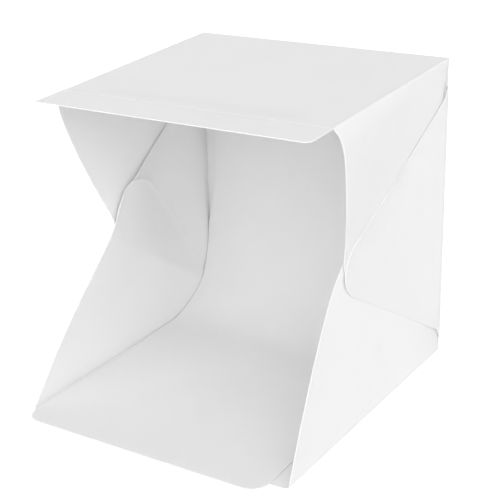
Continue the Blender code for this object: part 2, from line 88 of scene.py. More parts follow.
turns = Matrix.Rotation(CAMERA_TURN, 4, "Z") @ Matrix.Rotation(math.pi / 2 - CAMERA_DIP, 4, "X")
turns = turns @ Matrix.Rotation(CAMERA_ROLL, 4, "Z")
camera_data = bpy.data.cameras.new("camera")
camera_data.sensor_width = SENSOR
camera_data.lens = LENS
camera_data.clip_start = NEAREST_SEEN
camera = new_object("camera", camera_data)
camera.matrix_world = Matrix.Translation(CAMERA_PLACE) @ turns
bpy.context.scene.camera = camera
print("camera at", tuple(round(value, 3) for value in CAMERA_PLACE))

# %% [markdown]
# ## Shader groups
# Several finishes share the same small effects, so each effect is one node group that puts
# out a mask, a value or a colour. A group is made once, with named sockets, and every
# material feeds it its own numbers. The shader itself always stays in the material.

# %% Helpers for nodes and groups
def new_group(name, inputs, outputs):
    """A shader group with named sockets: lists of (name, kind, default) and (name, kind)."""
    group = bpy.data.node_groups.new(name, "ShaderNodeTree")
    for label, kind, default in inputs:
        socket = group.interface.new_socket(label, in_out="INPUT", socket_type="NodeSocket" + kind)
        socket.default_value = default
    for label, kind in outputs:
        group.interface.new_socket(label, in_out="OUTPUT", socket_type="NodeSocket" + kind)
    given = group.nodes.new("NodeGroupInput").outputs
    return group, given, group.nodes.new("NodeGroupOutput").inputs


def feed(tree, sockets, values):
    """Give each named socket a link or a plain value."""
    for label, value in values.items():
        if isinstance(value, bpy.types.NodeSocket):
            tree.links.new(value, sockets[label])
        else:
            sockets[label].default_value = value


def add_node(tree, kind, values, **settings):
    """The outputs of a new node that has its settings and what its sockets are given."""
    node = tree.nodes.new("ShaderNode" + kind)
    for label, setting in settings.items():
        setattr(node, label, setting)
    feed(tree, node.inputs, values)
    return node.outputs


def maths(tree, operation, first, second):
    """A Math node on two sockets or plain numbers."""
    return add_node(tree, "Math", {0: first, 1: second}, operation=operation)[0]


def noise(tree, place, scale, detail=2.0):
    """A noise texture read at a place, with a scale in repeats per metre."""
    return add_node(tree, "TexNoise", {"Vector": place, "Scale": scale, "Detail": detail})["Fac"]


def fade(tree, value, low, high, to_low=0.0, to_high=1.0):
    """A smooth Map Range from low..high to to_low..to_high."""
    return add_node(tree, "MapRange", {
        "Value": value, "From Min": low, "From Max": high, "To Min": to_low, "To Max": to_high,
    }, interpolation_type="SMOOTHSTEP")["Result"]


print("node helpers are ready")

# %% [markdown]
# ### Fine grain
# Extruded polypropylene has a fine matte tooth, a few hundredths of a millimetre deep. Two
# noises of different size, added, give it without a visible repeat. The group puts out a
# height for a Bump node, and a mask that breaks up the gloss.

# %% Build the grain group
COARSE_SCALE = 0.3                     # of the fine grain's repeats
COARSE_SHARE, FINE_SHARE = 0.6, 0.4
GRAIN_BREAKS = (0.35, 0.65)            # between which heights the gloss changes

grain_group, given, result = new_group(
    "fine_grain",
    [("Place", "Vector", (0, 0, 0)), ("Repeats per metre", "Float", 2600.0)],
    [("Height", "Float"), ("Mask", "Float")],
)
fine_scale = given["Repeats per metre"]
coarse = noise(grain_group, given["Place"], maths(grain_group, "MULTIPLY", fine_scale, COARSE_SCALE))
fine = noise(grain_group, given["Place"], fine_scale)
height = maths(grain_group, "ADD", maths(grain_group, "MULTIPLY", coarse, COARSE_SHARE),
               maths(grain_group, "MULTIPLY", fine, FINE_SHARE))
feed(grain_group, result, {"Height": height, "Mask": fade(grain_group, coarse, *GRAIN_BREAKS)})
print("made group", grain_group.name)

# %% [markdown]
# ### Tone drift and scuffs
# A sheet is never one flat tone. A slow drift, as from uneven thickness, moves it by a
# percent or two, and long faint scuffs come from folding it away. The drift is noise at
# hand size, and the scuffs are noise stretched along one direction and cut to its peaks.

# %% Build the drift group
HAND_SIZE = 14.0                       # all in repeats per metre
STREAK_SIZE = 260.0
PATCH_SIZE = 30.0
STREAK_STRETCH = (1.0, 0.14, 0.2)
STREAK_TURN = (0.3, 0.2, 0.5)
DRIFT_RANGE, STREAK_PEAKS, PATCH_PEAKS = (0.3, 0.7), (0.60, 0.72), (0.48, 0.62)

drift_group, given, result = new_group(
    "tone_drift",
    [("Place", "Vector", (0, 0, 0)), ("Colour", "Color", (1, 1, 1, 1)),
     ("Drift", "Float", 0.02), ("Scuff", "Float", 0.02)],
    [("Colour", "Color"), ("Scuff mask", "Float")],
)
stretched = add_node(drift_group, "Mapping", {
    "Vector": given["Place"], "Scale": STREAK_STRETCH, "Rotation": STREAK_TURN,
})["Vector"]
slow = noise(drift_group, given["Place"], HAND_SIZE, detail=3.0)
streaks = noise(drift_group, stretched, STREAK_SIZE, detail=4.0)
patches = noise(drift_group, given["Place"], PATCH_SIZE)
scuffs = maths(drift_group, "MULTIPLY", fade(drift_group, streaks, *STREAK_PEAKS),
               fade(drift_group, patches, *PATCH_PEAKS))
drifted = maths(drift_group, "MULTIPLY", fade(drift_group, slow, *DRIFT_RANGE), given["Drift"])
drop = maths(drift_group, "ADD", drifted, maths(drift_group, "MULTIPLY", scuffs, given["Scuff"]))
toned = add_node(drift_group, "VectorMath", {
    "Vector": given["Colour"], "Scale": maths(drift_group, "SUBTRACT", 1.0, drop),
}, operation="SCALE")["Vector"]
feed(drift_group, result, {"Colour": toned, "Scuff mask": scuffs})
print("made group", drift_group.name)

# %% [markdown]
# ## Sheet finishes
# One function makes every plastic finish, because they differ only in tone, gloss and
# grain. The face of a sheet is matte. Its cut edge is brighter, because light travels
# inside the sheet and leaves there, and a fold is pressed smooth and slightly white.
# The front lip's crease is far lighter: partly that pressed white, partly a painted
# highlight along the crease line.

# %% A function for every plastic finish
GRAIN_GLOSS = 0.08                     # how much rougher the grain's peaks are
SCUFF_GLOSS = -0.10                    # and how much smoother the scuffs
PLASTIC_IOR = 1.49
MILKY_DEPTH = 0.0010                   # how far light scatters inside


def new_finish(name, colour):
    """A material of one colour, with its node tree and its shader's sockets."""
    material = bpy.data.materials.new(name)
    material.use_nodes = True
    material.diffuse_color = (*colour, 1)
    return material, material.node_tree, material.node_tree.nodes["Principled BSDF"].inputs


def bumped(tree, height, depth):
    """A normal that follows a height, with its depth in metres."""
    return add_node(tree, "Bump", {"Height": height, "Distance": depth})["Normal"]


def plastic(name, colour, roughness, grain_scale=2600.0, grain_depth=0.00002, drift=0.02,
            scuff=0.02, milky=0.0):
    """A matte plastic. The colour is linear, the grain's depth is in metres, and milky is
    the share of light that scatters inside it."""
    material, tree, shader = new_finish(name, colour)
    place = add_node(tree, "TexCoord", {})["Object"]
    tone = add_node(tree, "Group", {
        "Place": place, "Colour": (*colour, 1), "Drift": drift, "Scuff": scuff,
    }, node_tree=drift_group)
    grain = add_node(tree, "Group", {"Place": place, "Repeats per metre": grain_scale},
                     node_tree=grain_group)
    rougher = maths(tree, "MULTIPLY", grain["Mask"], GRAIN_GLOSS)
    smoother = maths(tree, "MULTIPLY", tone["Scuff mask"], SCUFF_GLOSS)
    feed(tree, shader, {
        "Base Color": tone["Colour"],
        "Roughness": maths(tree, "ADD", maths(tree, "ADD", rougher, roughness), smoother),
        "Normal": bumped(tree, grain["Height"], grain_depth),
        "IOR": PLASTIC_IOR,
        "Subsurface Weight": milky,
        "Subsurface Radius": (1, 1, 1),
        "Subsurface Scale": MILKY_DEPTH,
    })
    return material


sheet_finish = plastic("white_polypropylene", (0.90, 0.90, 0.897), 0.52, milky=0.5)
edge_finish = plastic("cut_edge", (0.89, 0.89, 0.886), 0.42, grain_scale=5200.0, drift=0.0)
fold_finish = plastic("pressed_fold", (0.91, 0.91, 0.906), 0.36, grain_scale=1400.0,
                      grain_depth=0.00003, milky=0.5)
# The lip's crease: partly pressed white, partly a painted highlight, a light colour that stands in for
# light caught along the crease.
lip_crease_white_and_painted_highlight = plastic("creased_white", (0.97, 0.97, 0.965), 0.30, grain_scale=1400.0,
                        grain_depth=0.00003, drift=0.06, scuff=0.0, milky=0.5)
backdrop_finish = plastic("backdrop_vinyl", (0.93, 0.93, 0.938), 0.62, grain_scale=3400.0,
                          milky=0.5)
print("finishes:", [material.name for material in bpy.data.materials])

# %% [markdown]
# ## One function for every sheet
# Each panel and flap is a thin sheet on a grid of points. Blender's Solidify would thicken
# it, but then its cut edge is a plain wall. Here the two faces, a small chamfer and the
# wall are made together, so that the edge catches light as a knife-cut edge does. Where a
# sheet goes on into another one, the chamfer is left out and no line shows.

# %% Thicken a grid into a sheet
SHEET = 0.0008
CHAMFER = 0.00012
SHEET_SHARP = 34                       # in degrees: a sharper edge than this shows as one
FACE, EDGE, FOLD = 0, 1, 2             # material slots of a sheet
TINY = 1e-12


def border_of(rows, columns):
    """The numbers of the grid's border points, once round."""
    grid = np.arange(rows * columns).reshape(rows, columns)
    return [*grid[0].tolist(), *grid[1:, -1].tolist(),
            *grid[-1, -2::-1].tolist(), *grid[-2:0:-1, 0].tolist()]


def unit(vectors):
    return vectors / np.maximum(np.linalg.norm(vectors, axis=-1, keepdims=True), TINY)


def band(below, above):
    """The quads between two closed rings of as many corners."""
    return list(zip(below, below[1:] + below[:1], above[1:] + above[:1], above))


def show_mesh(name, mesh, finishes, sharp):
    """Shade a mesh, give it its finishes and put it in the scene."""
    mesh.shade_smooth()
    mesh.set_sharp_from_angle(angle=math.radians(sharp))
    for finish in finishes:
        mesh.materials.append(finish)
    return new_object(name, mesh)


def thick_sheet(name, middle, half, seam, folded_rows=(), chamfer=CHAMFER):
    """A closed sheet round a grid of midplane points (rows, columns, 3).

    half is half the thickness of each row, and seam marks border points with no chamfer."""
    rows, columns = middle.shape[:2]
    normal = unit(np.cross(np.gradient(middle, axis=1), np.gradient(middle, axis=0)))
    border = border_of(rows, columns)
    at = np.unravel_index(border, (rows, columns))
    ring, ring_normal = middle[at], normal[at]
    outward = unit(np.cross(np.roll(ring, -1, 0) - np.roll(ring, 1, 0), ring_normal))
    cut = np.where(seam[at], 0.0, chamfer)[:, None]
    thick = np.asarray(half)[:, None, None] * np.ones((rows, columns, 1))

    upper, lower = middle + normal * thick, middle - normal * thick
    upper[at] -= outward * cut
    lower[at] -= outward * cut
    wall = ring_normal * (thick[at] - chamfer)
    points = np.concatenate([upper.reshape(-1, 3), lower.reshape(-1, 3), ring + wall, ring - wall])

    count, around = rows * columns, len(border)
    faces, slots = [], []
    for row in range(rows - 1):
        slot = FOLD if row in folded_rows else FACE
        for a in range(row * columns, (row + 1) * columns - 1):
            quad = (a, a + 1, a + columns + 1, a + columns)
            faces += [quad, tuple(count + corner for corner in reversed(quad))]
            slots += [slot, slot]
    lower_wall, upper_wall = ([2 * count + first + step for step in range(around)]
                              for first in (around, 0))
    tiers = [[count + index for index in border], lower_wall, upper_wall, border]
    for below, above in zip(tiers, tiers[1:]):
        faces += band(below, above)
        slots += [EDGE] * around

    mesh = bpy.data.meshes.new(name)
    mesh.from_pydata(points.tolist(), [], faces)
    mesh.polygons.foreach_set("material_index", slots)
    return show_mesh(name, mesh, (sheet_finish, edge_finish, fold_finish), SHEET_SHARP)


print("a sheet is", SHEET * 1000, "mm thick")

# %% [markdown]
# ## Reading a sheet's cut from the CAD
# The CAD solid of each sheet already has the right outline. Rather than repeat its numbers,
# the script lays the solid's edges flat along its hinge and asks how far the sheet reaches
# at each distance from the hinge. The grid's rows are put where the outline turns.

# %% Hinge lines and directions
ACROSS = Vector((1, 0, 0))
FORWARD = Vector((0, -1, 0))
UP = Vector((0, 0, 1))
hinges = {joint["child"]: Vector(joint["pos_m"]) for joint in frame["joints"]}
BASE_HINGE = hinges["back"]
TOP_HINGE = hinges["top"]
BACK_UP = (TOP_HINGE - BASE_HINGE).normalized()
BACK_OUT = ACROSS.cross(BACK_UP)
roof_low, roof_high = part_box("top_panel")
roof_fall = (roof_high.z - roof_low.z - SHEET) / (roof_high.y - roof_low.y)
TOP_OUT = Vector((0, -1, -roof_fall)).normalized()
TOP_DOWN = ACROSS.cross(TOP_OUT)
RUNS = {"base": (FORWARD, UP), "back": (BACK_UP, BACK_OUT), "top": (TOP_OUT, TOP_DOWN)}
print("back leans", round(math.degrees(math.asin(BACK_UP.y)), 2), "deg, top falls",
      round(math.degrees(math.asin(-TOP_OUT.z)), 2), "deg")

# %% Outlines
ROW_STEP = 0.003
SMALLEST_STEP = 0.0004
LEVEL = 1e-7                           # an edge that rises less than this runs along a row


def points_of(node):
    """The corners of a CAD node."""
    return np.array([vertex.co for vertex in frame["nodes"][node].data.vertices])


def along_ways(places, origin, *ways):
    """How far places are from an origin, along each of some directions."""
    offset = places - np.array(origin)
    return [offset @ np.array(way) for way in ways]


def outline_of(node, origin, along, away):
    """The solid's edges, flat: x along the hinge and y away from it."""
    flat = np.column_stack(along_ways(points_of(node), origin, along, away))
    return flat[np.array([edge.vertices for edge in frame["nodes"][node].data.edges])]


def span_at(outline, distance):
    """Where the sheet starts and ends along its hinge, at a distance from it."""
    (x0, y0), (x1, y1) = outline[:, 0].T, outline[:, 1].T
    crosses = ((y0 - distance) * (y1 - distance) <= 0) & (np.abs(y1 - y0) > LEVEL)
    share = (distance - y0[crosses]) / (y1 - y0)[crosses]
    reached = x0[crosses] + share * (x1 - x0)[crosses]
    return reached.min(), reached.max()


def reach_at(outline, along):
    """Where the sheet starts and ends away from its hinge, at a place along it."""
    return span_at(outline[:, :, ::-1], along)


def row_distances(outline, first, last):
    """Where the outline turns, and steps between, from first to last."""
    turns = [value for value in np.unique(outline[:, :, 1].round(5)) if first < value < last]
    steps = np.arange(first, last, ROW_STEP)
    chosen = [first]
    for value in sorted([*turns, *steps[1:]]):
        if value - chosen[-1] > SMALLEST_STEP and last - value > SMALLEST_STEP:
            chosen.append(value)
    return chosen + [last]


print("the top's solid has", len(points_of("top_panel")), "corners")

# %% [markdown]
# ## Panels
# The four panels stay flat, since folds on two or three sides keep them straight. A panel
# is rolled over the fold to its neighbour and ends where the next fold takes over, so the
# mesh of a panel holds its own living hinge. Along a flap's root its side edge is set back,
# because there the flap's mesh brings the fold.

# %% Roll a fold
HINGE_GAP = 0.0007                     # from a hinge axis to the edge of each solid
PAST_GAP = HINGE_GAP * 1.1             # just inside that edge
FOLD_REACH = 0.0016                    # from a hinge axis to where a fold's mesh takes over
FOLD_RADIUS = 0.0010
FOLD_STEPS = 6
FOLDED_ROWS = range(1, FOLD_STEPS + 1)
WEB_SHARE = 0.30                       # how much thinner the sheet is pressed in a fold


def rolled_rows(corner, far, side):
    """Midplane rows from the neighbour's end round the hinge line to the first flat row."""
    near = corner + side * FOLD_RADIUS
    rows = [corner + side * FOLD_REACH, near]
    for t in (step / FOLD_STEPS for step in range(1, FOLD_STEPS)):
        rows.append(near * (1 - t) ** 2 + corner * 2 * t * (1 - t) + far * t ** 2)
    return rows


def row_halves(total, folded):
    """Half the thickness of each row, less in the middle of a fold."""
    halves = np.full(total, SHEET / 2)
    if folded:
        for step in range(1, FOLD_STEPS):
            halves[1 + step] *= 1 - WEB_SHARE * math.sin(math.pi * step / FOLD_STEPS)
    return halves


# %% Lay out a panel
COLUMNS = 60
STEP_RUN = 0.0002                      # the length over which a side edge is set back
END_MARGIN = 1e-6                      # from a panel's far end, where its last span is read
shares = np.linspace(0, 1, COLUMNS)


def with_roots(distances, roots):
    """Rows added at both ends of each root, and rows too near to them left out."""
    marks = [end + shift for root in roots for end in root for shift in (-STEP_RUN, STEP_RUN)]
    marks = [mark for mark in marks if distances[0] < mark < distances[-1]]
    kept = [d for d in distances if all(abs(d - mark) > STEP_RUN for mark in marks)]
    return sorted({distances[0], distances[-1], *kept, *marks})


def make_panel(name, origin, away, side, flap_out, last):
    """One panel. side points from its hinge into the neighbour that it folds from, if any,
    flap_out is the way that its flaps go, and last is where the next fold takes over."""
    outline = outline_of(name, origin, ACROSS, away)
    far_end = outline[:, :, 1].max() if last is None else last
    words = ("left", "right") if flap_out else ()
    flaps = [name.replace("panel", "flap_" + word) for word in words]
    roots = [span_at(outline_of(flap, hinges[flap], away, flap_out), PAST_GAP) for flap in flaps]
    set_back = abs(hinges[flaps[0]].x) - FOLD_REACH if flaps else 0
    first = FOLD_RADIUS if side else FOLD_REACH
    rows, beside = [], []
    for distance in with_roots(row_distances(outline, first, far_end), roots):
        ends = span_at(outline, min(max(distance, PAST_GAP), far_end - END_MARGIN))
        met = [start < distance < end for start, end in roots] or [False, False]
        low, high = np.where(met, (-set_back, set_back), ends)
        along = low + (high - low) * shares
        rows.append(np.outer(along, ACROSS) + np.array(origin + away * distance))
        beside.append(met)
    if side:
        corner = np.outer(rows[0][:, 0], ACROSS) + np.array(origin)
        fold = rolled_rows(corner, rows[0], np.array(side))
        rows = fold + rows
        beside = [[False, False]] * len(fold) + beside
    middle = np.array(rows)
    seam = np.zeros(middle.shape[:2], bool)
    seam[0] = True
    seam[-1] = last is not None
    seam[:, [0, -1]] |= np.array(beside)
    halves = row_halves(len(rows), side is not None)
    return thick_sheet(name + "_sheet", middle, halves, seam, FOLDED_ROWS if side else ())


print("a row has", COLUMNS, "points")

# %% Cut the four panels
back_rise = (TOP_HINGE - BASE_HINGE).length
crease = hinges["lip"] - TOP_DOWN * SHEET / 2
top_depth = (crease - TOP_HINGE).length

panels = {}
for name, bodies, origin, away, side, flap_out, last in (
    ("base_panel", ("base",), BASE_HINGE, FORWARD, None, UP, None),
    ("back_panel", ("base", "back"), BASE_HINGE, BACK_UP, FORWARD, BACK_OUT, back_rise - FOLD_REACH),
    ("top_panel", ("back", "top"), TOP_HINGE, TOP_OUT, -BACK_UP, TOP_DOWN, top_depth - FOLD_REACH),
    ("front_lip", ("top", "lip"), crease, TOP_OUT, -TOP_OUT, None, None),
):
    panel = make_panel(name, origin, away, side, flap_out, last)
    if side:
        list(bodies)
        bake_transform(panel)
    else:
        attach(panel, *bodies)
    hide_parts(name)
    panels[name] = panel
    print(panel.name, len(panel.data.polygons), "faces")
# The lip's fold gets the crease finish, whose light colour is partly a painted highlight along the
# crease.
panels["front_lip"].data.materials[FOLD] = lip_crease_white_and_painted_highlight

# %% [markdown]
# ## Flaps
# The six side flaps are where the sheet shows its spring. Three of them meet on each side,
# held by magnets. The magnets pull the layers in, and above them the roof's flap flares
# out from its fold before it comes back. Each flap's shape is a height over the plane of
# the cube's side: how far every point of it stands inwards.

# %% How far a side is drawn in or flared out
OUTER, MIDDLE, INNER = 0, 1, 2         # the layers of a side
LAYERS = {                             # on the right, 1, and on the left, -1
    1: ["back_flap_right", "top_flap_right", "base_flap_right"],
    -1: ["top_flap_left", "back_flap_left", "base_flap_left"],
}
layer_of = {node: (side, layer) for side in LAYERS for layer, node in enumerate(LAYERS[side])}
CATCH = Vector((0, -0.0025, 0.122))    # where the magnets meet
PINCH = (0.0045, 0.0078, 0.0130)       # how far each layer leans in there
PINCH_EXTRA = {1: 0.0, -1: 0.0014}
PULL = {1: 0.0, -1: 0.0034}            # further in still, as the sheet gives way
PULL_RUN = (0.25, 1.05)                # where between fold and magnets that sets in and ends
FLARE = {1: 0.0070, -1: 0.0130}        # out, above the back flap's edge
FLARE_RISE = 0.007
FLARE_DEPTH = (0.020, 0.1839)          # from the back: where the flare starts and is full
EDGE_SOFTNESS = 0.06                   # how softly the flare ends at the back flap's edge


def smooth(low, high, value):
    t = np.clip((value - low) / (high - low), 0, 1)
    return t * t * (3 - 2 * t)


def held_depth(ahead_of_back):
    """How far below the roof the back flap's upper edge lies, at a depth from the back."""
    outline = outline_of("back_flap_right", TOP_HINGE, TOP_OUT, TOP_DOWN)
    near, far = FLARE_DEPTH[0], FLARE_DEPTH[0] * 4
    near_edge, far_edge = (reach_at(outline, place)[0] for place in (near, far))
    return near_edge + (far_edge - near_edge) * (ahead_of_back - near) / (far - near)


def drawn_in(places, side, flared):
    """How far points of a side are moved inwards, on top of each flap's own lean."""
    pulled = PULL[side]
    for hinge, away in ((TOP_HINGE, TOP_DOWN), (BASE_HINGE, BACK_OUT), (BASE_HINGE, UP)):
        from_fold, = along_ways(places, hinge, away)
        pulled = pulled * smooth(*PULL_RUN, from_fold / (CATCH - hinge).dot(away))
    below, ahead_of_back = along_ways(places, TOP_HINGE, TOP_DOWN, TOP_OUT)
    held = np.cos(np.pi / 2 * np.clip(below / held_depth(ahead_of_back), 0, 2))
    held = (held + np.sqrt(held ** 2 + EDGE_SOFTNESS ** 2)) / 2
    rise = 1 - np.exp(-np.clip(below - HINGE_GAP, 0, None) / FLARE_RISE)
    return pulled - FLARE[side] * flared * rise * held * smooth(*FLARE_DEPTH, ahead_of_back)


def rest_height(node, places):
    """How far a flap stands in before it settles, and where on it the places are."""
    side, layer = layer_of[node]
    along, away = RUNS[node.split("_")[0]]
    a, b = along_ways(places, hinges[node], along, away)
    reach = (CATCH - hinges[node]).dot(away)
    lean = math.tan(math.asin((PINCH[layer] + PINCH_EXTRA[side]) / reach))
    height = b * lean + drawn_in(places, side, 1.0 if node.startswith("top") else 0.0)
    return height, a, b


print("flaps from the outer to the inner:", LAYERS)

# %% Where a flap starts and ends
TUCK = 0.010                           # how much further back the roof flaps go, underneath
TUCK_DROP = (0.0255, 0.034, 0.047, 0.056)   # from the roof: where that sets in and ends
TUCK_LIMIT = 0.0088                    # from the roof's hinge
FOOT_LIMIT = 0.0021                    # from the back's hinge: the base flaps' rear foot
FOOT_RISE = (0.036, 0.024)             # from the base: where the foot ends and is full
RIM_MARGIN = 1e-5                      # from a flap's far end, where its last span is read
RIM_ROWS = 160
TIP_POINTS = 20


def flap_span(node, outline, distance):
    """A flap's span in a row. The roof's flaps are tucked under the back's, or over them,
    and the base's flaps go back to the rear corner."""
    low, high = span_at(outline, distance)
    if node.startswith("base") and low > FOOT_LIMIT:
        low += (FOOT_LIMIT - low) * float(smooth(*FOOT_RISE, distance))
    if node.startswith("top"):
        start, full, going, end = TUCK_DROP
        tucked = smooth(start, full, distance) * smooth(end, going, distance) * TUCK
        low = min(low, max(low - float(tucked), TUCK_LIMIT))
    return low, high


def cover_of(node, a, b):
    """Where a flap covers places on it, and how far each is from its free edge."""
    outline = outline_of(node, hinges[node], *RUNS[node.split("_")[0]])
    far_end = outline[:, :, 1].max()
    rows = np.linspace(PAST_GAP, far_end - RIM_MARGIN, RIM_ROWS)
    starts, ends = np.array([flap_span(node, outline, row) for row in rows]).T
    covered = (a > np.interp(b, rows, starts)) & (a < np.interp(b, rows, ends))
    covered &= (b > 0) & (b < far_end)
    tip = np.linspace(starts[-1], ends[-1], TIP_POINTS)
    from_rim = np.ones(a.shape)
    for x, y in (*zip(starts, rows), *zip(ends, rows), *((x, far_end) for x in tip)):
        from_rim = np.minimum(from_rim, np.hypot(a - x, b - y))
    return covered, from_rim


print("the roof's flaps go back by", TUCK * 1000, "mm")

# %% [markdown]
# ### Let the layers settle
# Flat layers would leave slits of a few millimetres between them, but pressed sheet gives
# until its edges lie on the sheet beneath. A small relaxation on a grid over each side does
# that. Every step draws the free edges to their neighbours, smooths each layer, and pushes
# apart what has come too close. The gap stays wider over the magnets.

# %% A grid over a side
CELL = 0.002
SPREAD_CELLS = 6                       # how far past a flap's outline its values are carried
grid_y = np.arange(-0.150, 0.134, CELL)
grid_z = np.arange(-0.004, 0.250, CELL)
cells = np.stack(np.meshgrid([0.0], grid_y, grid_z, indexing="ij"), axis=-1)[0]


def with_neighbours(value, weight):
    """Each cell's value and weight, with those of its four neighbours added."""
    total, share = value, weight
    for axis in (0, 1):
        for shift in (-1, 1):
            total = total + np.roll(value, shift, axis)
            share = share + np.roll(weight, shift, axis)
    return total, np.maximum(share, TINY)


def smoothed(field, weight, times):
    """Average each cell with its neighbours that the sheet covers."""
    for _ in range(times):
        total, share = with_neighbours(field * weight, weight)
        field = np.where(weight > 0, total / share, field)
    return field


def spread(field, weight):
    """Carry the edge's values a little way past a flap's outline, and even out the cells."""
    value = field * weight
    for _ in range(SPREAD_CELLS):
        total, share = with_neighbours(value, weight)
        fresh = (weight == 0) & (share > TINY)
        value = np.where(fresh, total / share, value)
        weight = np.where(fresh, 1.0, weight)
    return smoothed(value, weight, times=3)


print("grid of", cells.shape[0], "by", cells.shape[1], "cells")

# %% Relax the three layers of a side
AIR = 0.00022                          # left between two sheets that touch
MAGNET_THICKNESS = 0.001
MAGNET_RADIUS = 0.005
MAGNET_ROOM = MAGNET_RADIUS * 1.3      # where the gap stays wider
EDGE_REACH = 0.024                     # how far in from a free edge the sheet gives
ROOT_REACH = 0.030                     # how far from its fold it stays stiff
PASSES = 90
DRAW_SHARE = 0.30
PAIRS = ((OUTER, MIDDLE), (MIDDLE, INNER), (OUTER, INNER))
CLOSING = {1: (0.62, 0.92, 0.25), -1: (0.05, 0.92, 0.92)}   # how far each pair's gaps close


def settle(side):
    """How far in the layers of a side move as they settle, outer first."""
    flaps = []
    for node in LAYERS[side]:
        height, a, b = rest_height(node, cells)
        covered, from_rim = cover_of(node, a, b)
        give = smooth(0, ROOT_REACH, b)
        draw = smooth(EDGE_REACH, 0, from_rim) * give
        flaps.append({"height": height, "covered": covered, "weight": covered.astype(float),
                      "give": give, "draw": draw, "moved": np.zeros_like(height)})
    near_magnet = np.hypot(cells[..., 1] - CATCH.y, cells[..., 2] - CATCH.z) < MAGNET_ROOM
    least = SHEET + AIR + np.where(near_magnet, MAGNET_THICKNESS, 0)
    pairs = []
    for closing, (first, second) in zip(CLOSING[side], PAIRS):
        both = flaps[first]["covered"] & flaps[second]["covered"]
        if (first, second) == (OUTER, INNER):
            both = both & ~flaps[MIDDLE]["covered"]
        pairs.append((flaps[first], flaps[second], both, closing))

    def gap(outer, inner):
        return (inner["height"] + inner["moved"]) - (outer["height"] + outer["moved"]) - least

    for _ in range(PASSES):
        for outer, inner, both, closing in pairs:
            slit = np.clip(gap(outer, inner), 0, None) * both * closing
            outer["moved"] = outer["moved"] + slit * outer["draw"] * DRAW_SHARE
            inner["moved"] = inner["moved"] - slit * inner["draw"] * DRAW_SHARE
        for flap in flaps:
            flap["moved"] = smoothed(flap["moved"], flap["weight"], times=2) * flap["give"]
        for outer, inner, both, _ in pairs:
            clash = np.clip(-gap(outer, inner), 0, None) * both / 2
            outer["moved"] = outer["moved"] - clash
            inner["moved"] = inner["moved"] + clash
    for outer, inner, both, _ in pairs:
        gaps = gap(outer, inner)[both] * 1000
        print("side", side, "gap", gaps.min().round(2), "to", gaps.max().round(2), "mm")
    return [spread(flap["moved"], flap["weight"]) for flap in flaps]


settled = {}
for side, nodes in LAYERS.items():
    settled.update(zip(nodes, settle(side)))

# %% [markdown]
# ### From the grid to the flaps
# A flap's own grid of points follows its cut, so the settled heights are read between the
# cells, and fade out towards the fold, which holds the flap straight. The last row runs
# round the flap's point, and the fold is rolled as on a panel.

# %% Cut a flap and roll its fold
TIP_CUT = 0.0012                       # how much of a point the last, curved row covers


def standing_in(node, places):
    """How far points of a flap stand inwards, settled."""
    height, _, b = rest_height(node, places)
    y = (places[..., 1] - grid_y[0]) / CELL
    z = (places[..., 2] - grid_z[0]) / CELL
    row = np.clip(y.astype(int), 0, len(grid_y) - 2)
    column = np.clip(z.astype(int), 0, len(grid_z) - 2)
    v, w = y - row, z - column
    field = settled[node]
    near, far = (field[row + step, column] * (1 - w) + field[row + step, column + 1] * w
                 for step in (0, 1))
    return height + (near * (1 - v) + far * v) * smooth(0, ROOT_REACH / 3, b)


def make_flap(node):
    """One flap on its fold, in rows along its hinge."""
    parent = node.split("_")[0]
    along, away = RUNS[parent]
    origin = hinges[node]
    outline = outline_of(node, origin, along, away)
    far_end = outline[:, :, 1].max()
    alongs, aways = [], []
    for distance in row_distances(outline, FOLD_RADIUS, far_end - TIP_CUT):
        low, high = flap_span(node, outline, max(distance, PAST_GAP))
        alongs.append(low + (high - low) * shares)
        aways.append(np.full(COLUMNS, distance))
    low, high = span_at(outline, far_end - TIP_CUT / 2)
    alongs.append(low + (high - low) * shares)
    aways.append([reach_at(outline, place)[1] for place in alongs[-1]])

    inward = np.array(ACROSS) * -layer_of[node][0]
    flat = np.array(origin) + np.multiply.outer(alongs, along) + np.multiply.outer(aways, away)
    body = flat + standing_in(node, flat)[..., None] * inward
    corner = np.array(origin) + np.outer(alongs[0], along)
    middle = np.concatenate([rolled_rows(corner, body[0], inward), body])
    seam = np.zeros(middle.shape[:2], bool)
    seam[0] = True
    piece = thick_sheet(node + "_sheet", middle, row_halves(len(middle), True), seam, FOLDED_ROWS)
    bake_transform(piece)
    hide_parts(node)
    print(piece.name, len(piece.data.polygons), "faces")


# %% Make all six flaps
for nodes in LAYERS.values():
    for node in nodes:
        make_flap(node)

# %% [markdown]
# ## The backdrop
# A loose sheet of soft vinyl lies on the floor, sweeps up and hangs on two pads. Its shape
# is simple enough to write down, so nothing is simulated: a flat run, an arc and a rise,
# with a slight taper and round front corners. Along the bend, its left edge follows the
# flaps, which hold it there.

# %% Draw the backdrop's profile
BACKDROP_THICKNESS = 0.0005
BACKDROP_CORNER = 0.014
SWEEP_RADIUS = 0.070
SWEEP_STEPS = 28
CORNER_STEPS = 10
RUN_STEP = 0.006

drop_low, drop_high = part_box("backdrop_sheet")
drop_points = points_of("backdrop_sheet")
floor_level = drop_low.z + BACKDROP_THICKNESS / 2
wall_gap = along_ways(drop_points, BASE_HINGE, BACK_OUT)[0].min() + BACKDROP_THICKNESS / 2
bend = math.pi / 2 - math.asin(BACK_UP.y)
wall_foot = BASE_HINGE + BACK_OUT * wall_gap
wall_foot += BACK_UP * ((floor_level - wall_foot.z) / BACK_UP.z)
bend_start = wall_foot.y - SWEEP_RADIUS * math.tan(bend / 2)
bend_end = wall_foot + BACK_UP * SWEEP_RADIUS * math.tan(bend / 2)
rise = (drop_high.z - bend_end.z) / BACK_UP.z
floor_run = bend_start - drop_low.y
risen = floor_run + SWEEP_RADIUS * bend

